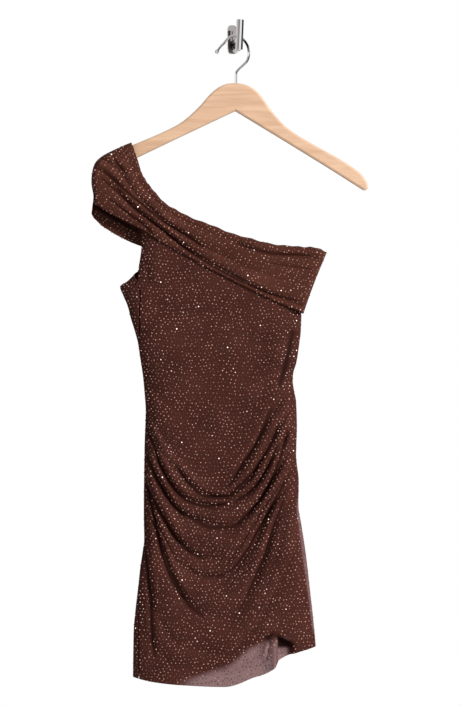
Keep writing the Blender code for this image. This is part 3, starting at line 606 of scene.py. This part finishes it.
def front_grid():
    rows = []
    for row in fine_rows():
        start = seam_angle(row_drop(row, 0.0))
        first = start + math.degrees(2 * SEAM_HALF_GAP / FRONT_DEPTH)
        turn = corner_share(first + (90.0 - first) * np.linspace(0.0, 1.0, FRONT_LEFT_COLUMNS))
        share = np.concatenate((turn, spread_shares(FRONT_FLAT_COLUMNS)))
        drop = row_drop(row, share)
        rows.append((np.ones(len(share), dtype=bool), share, drop, row_rise(row, share)))
    x, height, drop, out, shade = panel_grid(rows, FRONT_CREASES)
    way = np.clip((drop - PLEAT_TOP_DROP) / (SWAGS[-1].d65 - PLEAT_TOP_DROP), 0.0, 1.0)
    middle = PLEAT_TOP_X + (PLEAT_HEM_X - PLEAT_TOP_X) * way
    pleat = bell(x, middle, PLEAT_WIDTH) * smooth_step(0.0, PLEAT_FADE, way)
    fold, dark, ridge = hem_fold(x, drop)
    out = out + (PLEAT_RISE * pleat + fold) * height
    flap = smooth_step(*FLAP_DROP_LEFT, x) * (1.0 - smooth_step(*FLAP_DROP_RIGHT, x))
    drop = drop + FLAP_DROP * flap * smooth_step(*FLAP_DROP_DROPS, drop)
    # The hem's painted shade joins the painted shade of the creases
    shade = np.maximum(shade, dark)
    sheer = sheer_share(x, drop, LINING_FRONT_HEM, shade) * (1.0 - FLAP_RIDGE_OPAQUE * ridge)
    corner = smooth_step(*OPAQUE_CORNER, x) * smooth_step(*OPAQUE_CORNER_DROPS, drop)
    return x, HANG_PLANE - out, drop, shade, sheer * (1.0 - corner) * smooth_step(*OPAQUE_LEFT, x)


def back_grid():
    rows = []
    for row in fine_rows():
        drop = float(row_drop(row, 0.0))
        armhole = float(smooth_step(ARMHOLE_FOOT, ARMHOLE_HEAD, drop))
        start = -seam_angle(drop) * (1.0 - armhole) + ARMHOLE_OPEN_ANGLE * armhole
        angles = start + (90.0 - start) * np.linspace(0.0, 1.0, BACK_LEFT_COLUMNS)
        turn = corner_share(np.abs(angles))
        flat = spread_shares(BACK_FLAT_COLUMNS)
        on_front = np.concatenate((angles < 0, np.zeros(len(flat), dtype=bool)))
        share = np.concatenate((turn, flat))
        sagging = row_drop(row, share, BACK_SAG_SHARE)
        rise = BACK_RISE_SHARE * row_rise(row, share)
        rise[:len(turn)] = 0.0
        rows.append((on_front, share, np.where(on_front, row_drop(row, share), sagging), rise))
    on_front = np.array([row[0] for row in rows])
    x, height, drop, out, shade = panel_grid(rows, BACK_CREASES)
    y = HANG_PLANE + np.where(on_front, -out, out)
    shade = np.where(on_front, 0.0, BACK_SHADE * shade)
    sheer = sheer_share(x, drop, LINING_BACK_HEM, shade)
    return x, y, drop, shade, np.where(on_front, 0.0, sheer)


def seam_angle(drop):
    """The corner angle of the left seam, which runs a little way round on the front."""
    left = left_side(drop)
    width = right_side(drop) - left
    wrap = np.maximum(WRAP_LEAST, WRAP_SEAM_X - left)
    inward = np.clip(wrap / width / CORNER_SHARE, 0.0, 1.0)
    return float(np.degrees(np.arccos(1.0 - inward)))


def spread_shares(count):
    """Shares across a panel from the left corner's flat to the right seam, closer at the seam."""
    flat = np.linspace(CORNER_SHARE, 1.0 - CORNER_SHARE, count)[1:]
    turn = 1.0 - corner_share(np.linspace(90.0, 0.0, RIGHT_COLUMNS)[1:])
    return np.concatenate((flat, turn))


def lining_grid(front, hem):
    depth = (FRONT_DEPTH if front else BACK_DEPTH) - PANEL_WALL - LINING_GAP
    side = -1 if front else 1
    turn = corner_share(np.linspace(0.0, 90.0, LINING_TURN_COLUMNS))
    flat = np.linspace(CORNER_SHARE, 1 - CORNER_SHARE, LINING_FLAT_COLUMNS)[1:-1]
    share = np.concatenate((turn, flat, 1.0 - turn[::-1]))
    hem_drop = Curve(STATIONS, hem)(share)
    t = np.linspace(0.0, 1.0, LINING_LINES)[:, None]
    drop = LINING_TOP_DROP + (hem_drop - LINING_TOP_DROP) * t
    left = left_side(drop) + LINING_SIDE_INSET
    right = np.minimum(right_side(drop) - LINING_SIDE_INSET, LINING_RIGHT_LIMIT)
    x = left + (right - left) * share
    phase = 0.0 if front else LINING_BACK_PHASE
    ripple = LINING_RIPPLE * t * np.sin(x / LINING_RIPPLE_LENGTH + phase)
    out = (depth - LINING_SLACK + ripple) * corner_height(share) + SEAM_HALF_GAP
    if front:
        out = out + hem_fold(x, drop)[0] * corner_height(share)
    return x, HANG_PLANE + side * out, drop, np.zeros_like(x), np.zeros_like(x)


def band_stations():
    last = len(BAND_FRONT) - 1
    turn = np.radians(np.linspace(0.0, 90.0, BAND_TURN_COLUMNS))
    left = BAND_SHOULDER_ROUND * (1 - np.cos(turn))
    right = last - BAND_RIGHT_ROUND * (1 - np.cos(turn[::-1]))
    flat = np.linspace(left[-1], right[0], BAND_FLAT_COLUMNS)[1:-1]
    stations = np.concatenate((left, flat, right))
    turned = np.concatenate((np.sin(turn), np.ones(len(flat)), np.sin(turn[::-1])))
    return stations, turned


def band_grid(table, depths, side):
    stations, turned = band_stations()
    keys = range(len(table))
    neck_x, neck_drop, guide_x, guide_drop, low_x, low_drop, pull = (
        Curve(keys, column)(stations) for column in zip(*table))
    pleat_shares = np.array([Curve(PLEAT_STATIONS, pleat[1:7])(stations) for pleat in BAND_PLEATS])
    lifts = np.array([Curve(PLEAT_LIFT_STATIONS, pleat[7:10])(stations) for pleat in BAND_PLEATS])
    depth = Curve(BAND_DEPTH_STATIONS, depths)(stations)
    rows = []
    for line in range(BAND_LINES + 1):
        share = np.full(len(stations), line / BAND_LINES)
        lift = np.zeros(len(stations))
        for k in range(len(BAND_PLEATS) - 1):
            inside = (share >= pleat_shares[k]) & (share <= pleat_shares[k + 1])
            t = (share - pleat_shares[k]) / np.maximum(1e-6, pleat_shares[k + 1] - pleat_shares[k])
            t = np.clip(t, 0.0, 1.0)
            way = t if BAND_PLEATS[k].trough else 1.0 - t
            shape = np.sin(np.pi / 2 * way) ** PLEAT_POWER
            low, high = lifts[k:k + 2] if BAND_PLEATS[k].trough else (lifts[k + 1], lifts[k])
            lift = np.where(inside, low + (high - low) * shape, lift)
        weights = ((1 - share) ** 2, 2 * pull * share * (1 - share), share * share)
        total = sum(weights)
        x = (neck_x * weights[0] + guide_x * weights[1] + low_x * weights[2]) / total
        drop = (neck_drop * weights[0] + guide_drop * weights[1] + low_drop * weights[2]) / total
        uneven = NECK_UNEVEN * np.sin(stations * NECK_TURNS[0])
        uneven = uneven * np.sin(stations * NECK_TURNS[1] + 1.0)
        drop = drop + uneven * (1 - smooth_step(0.0, NECK_REACH, share)) * turned
        rows.append((x, drop, share, depth + lift))
    x, drop, share, out = (np.array([row[k] for row in rows]) for k in range(4))
    bulk = SHOULDER_BULK * (1.0 - smooth_step(0.0, SHOULDER_REACH, stations))
    bulk = bulk * np.sin(np.pi * share ** SHOULDER_POWER)
    x = x - SHOULDER_OUT * bulk
    drop = drop - SHOULDER_UP * bulk * (1.0 - smooth_step(*SHOULDER_UP_SHARES, share))
    outer = 1.0 - smooth_step(0.0, SLEEVE_REACH, stations)
    x = x + SLEEVE_DENT * outer * bell(drop, *SLEEVE_DENT_AT)
    if side > 0:
        x = x - SLEEVE_CORNER * outer * bell(drop, *SLEEVE_CORNER_AT)
        hang_in = 1.0 - smooth_step(*SLEEVE_HANG_STATIONS, stations)
        out = out - SLEEVE_HANG_IN * (smooth_step(*SLEEVE_HANG_DROPS, drop) * hang_in)
    folds, shade = crease_field(BAND_CREASES if side < 0 else BAND_BACK_CREASES, x, drop)
    top_fade, low_fade = BAND_EDGE_FADES
    edge = smooth_step(0.0, top_fade, share) * smooth_step(0.0, low_fade, 1 - share)
    out = (out + BAND_FOLD_SHARE * folds * edge) * turned + EDGE_HALF_GAP
    return x, HANG_PLANE + side * out, drop, shade, np.zeros_like(x)


def sheer_share(x, drop, lining_hem, shade):
    """Where the mesh has no lining behind it: below the lining's hem and down the right edge."""
    left = left_side(drop)
    share = np.clip((x - left) / (right_side(drop) - left), 0.0, 1.0)
    hem = Curve(STATIONS, lining_hem)(share)
    later = SHEER_LATER * bell(x, 0.0, SHEER_LATER_HALF)
    low = smooth_step(-SHEER_BLEND, SHEER_BLEND_BELOW * SHEER_BLEND, drop - hem - later)
    width = Curve(EDGE_STRIP_DROPS, EDGE_STRIP_WIDTHS)(drop)
    inner, outer = EDGE_STRIP_FADE
    fade = smooth_step(inner * width, outer * width + LEAST_WIDTH, right_side(drop) - x)
    strip = EDGE_STRIP_SHARE * (1.0 - fade)
    return np.maximum(low, strip) * (1.0 - shade)


def add_object(name, data):
    obj = bpy.data.objects.new(name, data)
    bpy.context.scene.collection.objects.link(obj)
    return obj


def grid_mesh(name, grid, outward, thick):
    """A closed thin shell through a grid of places, with its crease attribute of painted shade and
    its sheer attribute.
    """
    x, y, drop, shade, sheer = grid
    height, width = x.shape
    places = np.stack([x, y, -drop], axis=2).reshape(-1, 3) * MM
    index = np.arange(height * width).reshape(height, width)
    quads = np.stack([index[:-1, :-1], index[1:, :-1], index[1:, 1:], index[:-1, 1:]], axis=2)
    quads = quads.reshape(-1, 4)
    if outward > 0:
        quads = quads[:, ::-1]
    mesh = bpy.data.meshes.new(name)
    mesh.from_pydata(places.tolist(), [], quads.tolist())
    # The crease attribute holds painted shade, where creases and the hem's hollow lie in shade
    for label, values in (("crease", shade), ("sheer", sheer)):
        attribute = mesh.attributes.new(label, 'FLOAT', 'POINT')
        attribute.data.foreach_set("value", values.reshape(-1).astype(np.float32))
    mesh.shade_smooth()
    obj = add_object(name, mesh)
    wall = obj.modifiers.new("thickness", 'SOLIDIFY')
    wall.thickness = thick * MM
    wall.offset = -1.0
    return obj


class Finish:
    """A new material, with short ways to add nodes to it and to link them."""

    def __init__(self, name, sockets=None):
        self.material = bpy.data.materials.new(name)
        self.material.use_nodes = True
        self.tree = self.material.node_tree
        self.shader = self.tree.nodes["Principled BSDF"]
        self.set(self.shader, sockets)

    def set(self, node, sockets):
        for socket, value in (sockets or {}).items():
            node.inputs[socket].default_value = value

    def add(self, kind, sockets=None, **settings):
        node = self.tree.nodes.new("ShaderNode" + kind)
        for key, value in settings.items():
            setattr(node, key, value)
        self.set(node, sockets)
        return node

    def link(self, source, output, node, socket):
        self.tree.links.new(source.outputs[output], node.inputs[socket])

    def noise(self, source, output, scale, detail=2.0, distortion=0.0):
        node = self.add("TexNoise", {"Scale": scale, "Detail": detail, "Distortion": distortion})
        self.link(source, output, node, "Vector")
        return node

    def scaled(self, source, output, limits):
        """One node's output brought to other limits."""
        node = self.add("MapRange", limits)
        self.link(source, output, node, "Value")
        return node

    def blend(self, start, colour, share, output):
        """From a colour, or from a node's output, towards a colour by another node's output."""
        node = self.add("Mix", {"B": (*colour, 1.0)}, data_type='RGBA')
        if len(start) == 3:
            self.set(node, {"A": (*start, 1.0)})
        else:
            self.link(*start, node, "A")
        self.link(share, output, node, "Factor")
        return node

    def bump(self, source, output, strength, distance):
        node = self.add("Bump", {"Strength": strength, "Distance": distance})
        self.link(source, output, node, "Height")
        self.end(node, "Normal", "Normal")

    def end(self, source, output, socket):
        self.link(source, output, self.shader, socket)


def cloth_material(name, dark, light, crease_shade_colour, roughness, weave_bump, sheer=False):
    """Stretch mesh or jersey: uneven brown, a fine crossed weave, and painted shade darker down in
    the creases.
    """
    finish = Finish(name, {"Specular IOR Level": 0.02})
    place = finish.add("NewGeometry")
    broad = finish.noise(place, "Position", 22.0, 6.0)
    fine = finish.noise(place, "Position", 420.0, 3.0)
    both = finish.add("Math", {1: 0.45}, operation='MULTIPLY_ADD')
    finish.link(fine, "Fac", both, 0)
    finish.link(broad, "Fac", both, 2)
    tone = finish.scaled(both, "Value", {"From Min": 0.45, "From Max": 1.0})
    colour = finish.blend(dark, light, tone, "Result")
    # Painted shade: the crease attribute darkens the colour where creases and the hem's hollow lie
    # in shade
    crease = finish.add("Attribute", attribute_name="crease")
    colour = finish.blend((colour, "Result"), crease_shade_colour, crease, "Fac")
    # Where the mesh is sheer it lets a little light through, and its colour is also painted
    # lighter, painted light that shows through it
    if sheer:
        see = finish.add("Attribute", attribute_name="sheer")
        holes = finish.scaled(see, "Fac", {"To Min": 1.0, "To Max": SHEER_ALPHA})
        finish.end(holes, "Result", "Alpha")
        colour = finish.blend((colour, "Result"), MESH_SHEER_PAINTED_LIGHT, see, "Fac")
    finish.end(colour, "Result", "Base Color")
    crossed = finish.add("Math", operation='MULTIPLY')
    for thread, angle in enumerate((45.0, -45.0)):
        turn = finish.add("Mapping", {"Rotation": (0.0, math.radians(angle), 0.0)})
        finish.link(place, "Position", turn, "Vector")
        wave = finish.add("TexWave", {"Scale": 260.0, "Distortion": 0.4}, wave_type='BANDS',
                          bands_direction='X')
        finish.link(turn, "Vector", wave, "Vector")
        finish.link(wave, "Fac", crossed, thread)
    finish.bump(crossed, "Value", weave_bump, 0.0003)
    limits = {"To Min": roughness - 0.08, "To Max": roughness + 0.08}
    rough = finish.scaled(crossed, "Value", limits)
    finish.end(rough, "Result", "Roughness")
    return finish.material


def stud_material(name, dark, light, roughness, metallic):
    """Small cut studs, each painted lighter or darker by a glint of its own: a painted highlight.
    """
    finish = Finish(name, {"Roughness": roughness, "Metallic": metallic})
    glint = finish.add("Attribute", attribute_name="glint")
    noise = finish.noise(finish.add("NewGeometry"), "Position", 60.0)
    both = finish.add("Math", operation='MULTIPLY')
    finish.link(glint, "Fac", both, 0)
    finish.link(noise, "Fac", both, 1)
    spread = finish.scaled(both, "Value", {"From Min": 0.05, "From Max": 0.55})
    colour = finish.blend(dark, light, spread, "Result")
    finish.end(colour, "Result", "Base Color")
    return finish.material


def wood_material():
    """Pale varnished hardwood: grain along the arms, fine pores and a soft satin."""
    finish = Finish("pale_wood", {"Roughness": 0.55, "Specular IOR Level": 0.2})
    place = finish.add("NewGeometry")
    stretch = finish.add("Mapping", {"Scale": (0.10, 1.0, 1.0)})
    finish.link(place, "Position", stretch, "Vector")
    grain = finish.noise(stretch, "Vector", 130.0, 5.0, 0.6)
    ramp = finish.add("ValToRGB")
    for stop, position, colour in zip(ramp.color_ramp.elements, (0.32, 0.66),
                                      (WOOD_DARK, WOOD_LIGHT)):
        stop.position = position
        stop.color = (*colour, 1.0)
    finish.link(grain, "Fac", ramp, "Fac")
    blotch = finish.noise(place, "Position", 14.0)
    half = finish.add("Math", {1: 0.5}, operation='MULTIPLY')
    finish.link(blotch, "Fac", half, 0)
    warm = finish.blend((ramp, "Color"), WOOD_WARM, half, "Value")
    finish.end(warm, "Result", "Base Color")
    finish.bump(grain, "Fac", 0.12, 0.0002)
    return finish.material


def chrome_material(name, reflection_bands, darker=False):
    """Polished metal with a painted reflection: the bright and dark stripes of a studio painted
    along each side of a rod by the way its surface faces.
    """
    finish = Finish(name, {"Metallic": 1.0})
    place = finish.add("NewGeometry")
    axes = finish.add("SeparateXYZ")
    finish.link(place, "Normal", axes, "Vector")
    smear = finish.noise(place, "Position", 120.0, 3.0)
    wander = finish.add("Math", {1: 0.16}, operation='MULTIPLY_ADD')
    finish.link(smear, "Fac", wander, 0)
    finish.link(axes, "X", wander, 2)
    way = finish.scaled(wander, "Value", {"From Min": -1.0})
    # Painted reflection: the grey at each place comes from the way the surface faces, not from the
    # room
    ramp = finish.add("ValToRGB")
    stops = ramp.color_ramp.elements
    for position, _ in reflection_bands[1:-1]:
        stops.new(position)
    for stop, (position, grey) in zip(stops, reflection_bands):
        stop.position = position
        stop.color = (*(grey * share for share in METAL_TINT), 1.0)
    finish.link(way, "Result", ramp, "Fac")
    finish.end(ramp, "Color", "Base Color")
    rough = finish.scaled(smear, "Fac", {"To Min": 0.04, "To Max": 0.10})
    finish.end(rough, "Result", "Roughness")
    # Close to the wall the metal is painted dark, a painted reflection of the dark dress and room,
    # and made rougher
    if darker:
        spot = finish.add("SeparateXYZ")
        finish.link(place, "Position", spot, "Vector")
        limits = {"From Min": NEAR_WALL_Y[0] * MM, "From Max": NEAR_WALL_Y[1] * MM}
        near = finish.scaled(spot, "Y", limits)
        dim = finish.blend((ramp, "Color"), NEAR_WALL_PAINTED_DARK, near, "Result")
        finish.end(dim, "Result", "Base Color")
        satin = finish.add("Mix", {"B": NEAR_WALL_ROUGH})
        finish.link(rough, "Result", satin, "A")
        finish.link(near, "Result", satin, "Factor")
        finish.end(satin, "Result", "Roughness")
    return finish.material


def cover(piece, material):
    piece.data.materials.clear()
    piece.data.materials.append(material)


def dress(piece, material, slot, *nodes):
    cover(piece, material)
    if nodes:
        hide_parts(*nodes)
    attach(piece, "root")


def stud_warp(along, across, warp):
    swing = warp.swing * math.sin(across / warp.cross_length)
    return STUD_WARP * math.sin(along / warp.length + swing)


def stud_spots(obj, grid, side, sag, inside=None):
    """Staggered places for studs on the outer face of a piece, in gently sagging rows.

    Side is -1 for the studs that are set from the front and 1 for those set from the back. Inside
    the open sleeve, left of one x and below one drop, they show on the mesh's inner face.
    """
    x, y, drop, shade, _ = grid
    tree = BVHTree.FromPolygons([v.co for v in obj.data.vertices],
                                [tuple(p.vertices) for p in obj.data.polygons])
    shades = shade.reshape(-1)
    start_y = side * STUD_CAST * MM
    direction = Vector((0.0, -side, 0.0))
    spots = []
    for row, level in enumerate(np.arange(drop.min() - STUD_MARGIN, drop.max(), STUD_PITCH_Z)):
        shift = STUD_PITCH_X / 2 if row % 2 else 0.0
        for column in np.arange(x.min() + shift, x.max(), STUD_PITCH_X):
            warp_x = stud_warp(level, column, STUD_WARP_X)
            warp_drop = stud_warp(column, level, STUD_WARP_DROP)
            place_x = column + warp_x + rng.uniform(-STUD_JITTER, STUD_JITTER)
            place_drop = level + sag(place_x, level) + warp_drop
            place_drop += rng.uniform(-STUD_JITTER, STUD_JITTER)
            start = Vector((place_x * MM, start_y, -place_drop * MM))
            hit, normal, face, _ = tree.ray_cast(start, direction)
            if hit is None:
                continue
            if inside is None and side * (hit.y / MM - HANG_PLANE) < EDGE_HALF_GAP:
                continue
            if inside is not None and (place_x > inside[0] or place_drop < inside[1]):
                continue
            if max(shades[k] for k in obj.data.polygons[face].vertices) > STUD_SHADE_LIMIT:
                continue
            if inside is not None:
                hit.y += side * BAND_THICK * MM
            spots.append((hit, normal if normal.y * side > 0 else -normal))
    return spots


def stud_mesh(name, spots, radius):
    """Low six-sided studs with a flat top, one closed form at each place, in one mesh."""
    places = []
    faces = []
    glints = []
    for hit, normal in spots:
        spin = rng.uniform(0.0, 2 * math.pi / STUD_SIDES)
        across = normal.orthogonal().normalized()
        up = normal.cross(across)
        first = len(places)
        # Each stud's glint: how much painted highlight it gets
        glints += [rng.uniform(0.0, 1.0) ** GLINT_POWER] * (2 * STUD_SIDES)
        for reach, rise in ((1.0, STUD_FOOT), (STUD_TOP_SHARE, STUD_HEIGHT)):
            for k in range(STUD_SIDES):
                turn = spin + 2 * math.pi * k / STUD_SIDES
                outwards = across * math.cos(turn) + up * math.sin(turn)
                places.append(hit + (outwards * radius * reach + normal * rise) * MM)
        for k in range(STUD_SIDES):
            after = (k + 1) % STUD_SIDES
            top = first + STUD_SIDES
            faces.append((first + k, first + after, top + after, top + k))
        faces.append(tuple(first + STUD_SIDES + k for k in range(STUD_SIDES)))
        faces.append(tuple(first + k for k in reversed(range(STUD_SIDES))))
    mesh = bpy.data.meshes.new(name)
    mesh.from_pydata(places, [], faces)
    attribute = mesh.attributes.new("glint", 'FLOAT', 'POINT')
    attribute.data.foreach_set("value", np.array(glints, dtype=np.float32))
    return add_object(name, mesh)


def sag_of_panel(x, drop):
    """How far a row of studs hangs at a place on the skirt, most round the hips."""
    left = float(left_side(drop))
    right = float(right_side(drop))
    across = min(1.0, max(0.0, (x - left) / (right - left)))
    amount = HIP_SAG * math.exp(-((drop - HIP_SAG_DROP) / HIP_SAG_HALF) ** 2)
    return amount * (math.sin(math.pi * across) - HIP_SAG_LEVEL)


def sag_of_band(x, drop):
    """How far a row of studs hangs on the band: it falls from the shoulder, then less steeply."""
    if x < 0:
        return BAND_SAG_LEFT[1] * (x - BAND_SAG_LEFT[0])
    return BAND_SAG_RIGHT[0] + BAND_SAG_RIGHT[1] * x


def build_dress():
    mesh_brown = cloth_material("studded_mesh", MESH_DARK, MESH_LIGHT, MESH_CREASE_SHADE, 0.75, 0.5,
                                sheer=True)
    band_brown = cloth_material("pleated_mesh", BAND_DARK, BAND_LIGHT, MESH_CREASE_SHADE, 0.75, 0.5)
    jersey = cloth_material("lining_jersey", LINING_DARK, LINING_LIGHT, LINING_CREASE_SHADE, 0.85, 0.3)
    stud_finish = stud_material("stud_copper", STUD_DARK, STUD_LIGHT, 0.45, 0.3)
    sparkle_finish = stud_material("stud_sparkle", SPARKLE_DARK, SPARKLE_LIGHT, 0.2, 0.2)
    panel = (MESH_THICK, mesh_brown, "studded_mesh", sag_of_panel)
    lining = (LINING_THICK, jersey, "lining_jersey", None)
    band = (BAND_THICK, band_brown, "pleated_mesh", sag_of_band)
    sewn = {}
    for name, node, side, (thick, finish, slot, sag), grid in (
            ("front", "front_panel", -1, panel, front_grid()),
            ("back", "back_panel", 1, panel, back_grid()),
            ("lining_front", "lining_front", -1, lining, lining_grid(True, LINING_FRONT_HEM)),
            ("lining_back", "lining_back", 1, lining, lining_grid(False, LINING_BACK_HEM)),
            ("band_front", "shoulder_band_front", -1, band,
             band_grid(BAND_FRONT, BAND_FRONT_DEPTHS, -1)),
            ("band_back", "shoulder_band_back", 1, band,
             band_grid(BAND_BACK, BAND_BACK_DEPTHS, 1))):
        piece = grid_mesh(name + "_cloth", grid, side, thick)
        dress(piece, finish, slot, node)
        if sag is None:
            continue
        spots = stud_spots(piece, grid, side, sag)
        if name == "back":
            spots += stud_spots(piece, grid, -1, sag)
        if name == "band_back":
            spots += stud_spots(piece, grid, -1, sag, SLEEVE_INSIDE)
        # A share of the studs become sparkles, painted much lighter as a painted highlight
        bright = rng.random(len(spots)) < SPARKLE_SHARE
        plain = [spot for spot, lit in zip(spots, bright) if not lit]
        lit_up = [spot for spot, lit in zip(spots, bright) if lit]
        sewn[name] = [stud_mesh(name + "_studs", plain, STUD_RADIUS),
                      stud_mesh(name + "_sparkles", lit_up, SPARKLE_RADIUS)]
        dress(sewn[name][0], stud_finish, slot)
        dress(sewn[name][1], sparkle_finish, slot)


def finish_hardware():
    wood = wood_material()
    rod = chrome_material("polished_chrome", ROD_REFLECTION_BANDS, darker=True)
    wire = chrome_material("chrome_wire", WIRE_REFLECTION_BANDS)
    for name, material in (("hanger_wood", wood), ("hanger_hook", wire), ("wall_plate", wire),
                           ("wall_hook", rod)):
        cover(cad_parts[name], material)


def build_stage():
    bm = bmesh.new()
    bmesh.ops.create_circle(bm, cap_ends=True, segments=FLOOR_SIDES, radius=FLOOR_RADIUS * MM)
    bmesh.ops.translate(bm, verts=bm.verts, vec=(0, 0, -FLOOR_DROP * MM))
    mesh = bpy.data.meshes.new("floor")
    bm.to_mesh(mesh)
    bm.free()
    floor = add_object("floor", mesh)
    finish = Finish("pale_floor", {"Base Color": (*FLOOR_COLOUR, 1.0), "Roughness": 0.9})
    mesh.materials.append(finish.material)


def build_camera_and_light():
    scene = bpy.context.scene
    camera_data = bpy.data.cameras.new("camera")
    camera_data.sensor_fit = 'HORIZONTAL'
    camera_data.sensor_width = SENSOR_WIDTH
    camera_data.lens = SENSOR_WIDTH * CAMERA_DISTANCE / VIEW_WIDTH
    camera = add_object("camera", camera_data)
    camera.location = Vector((CAMERA_X, GARMENT_PLANE - CAMERA_DISTANCE, CAMERA_Z)) * MM
    camera.rotation_euler = (math.radians(90), 0, 0)
    scene.camera = camera
    world = bpy.data.worlds.new("studio")
    world.use_nodes = True
    background = world.node_tree.nodes["Background"]
    background.inputs["Color"].default_value = (1.0, 1.0, 1.0, 1.0)
    background.inputs["Strength"].default_value = 1.0
    scene.world = world
    scene.view_settings.view_transform = 'Standard'
    target = Vector(LIGHT_TARGET) * MM
    for lamp in LAMPS:
        data = bpy.data.lights.new(lamp.name, 'AREA')
        data.shape = 'DISK'
        data.size = lamp.size * MM
        data.energy = lamp.power
        light = add_object(lamp.name, data)
        light.location = Vector(lamp.place) * MM
        light.rotation_euler = (target - light.location).to_track_quat('-Z', 'Y').to_euler()


build_dress()
finish_hardware()
build_stage()
build_camera_and_light()
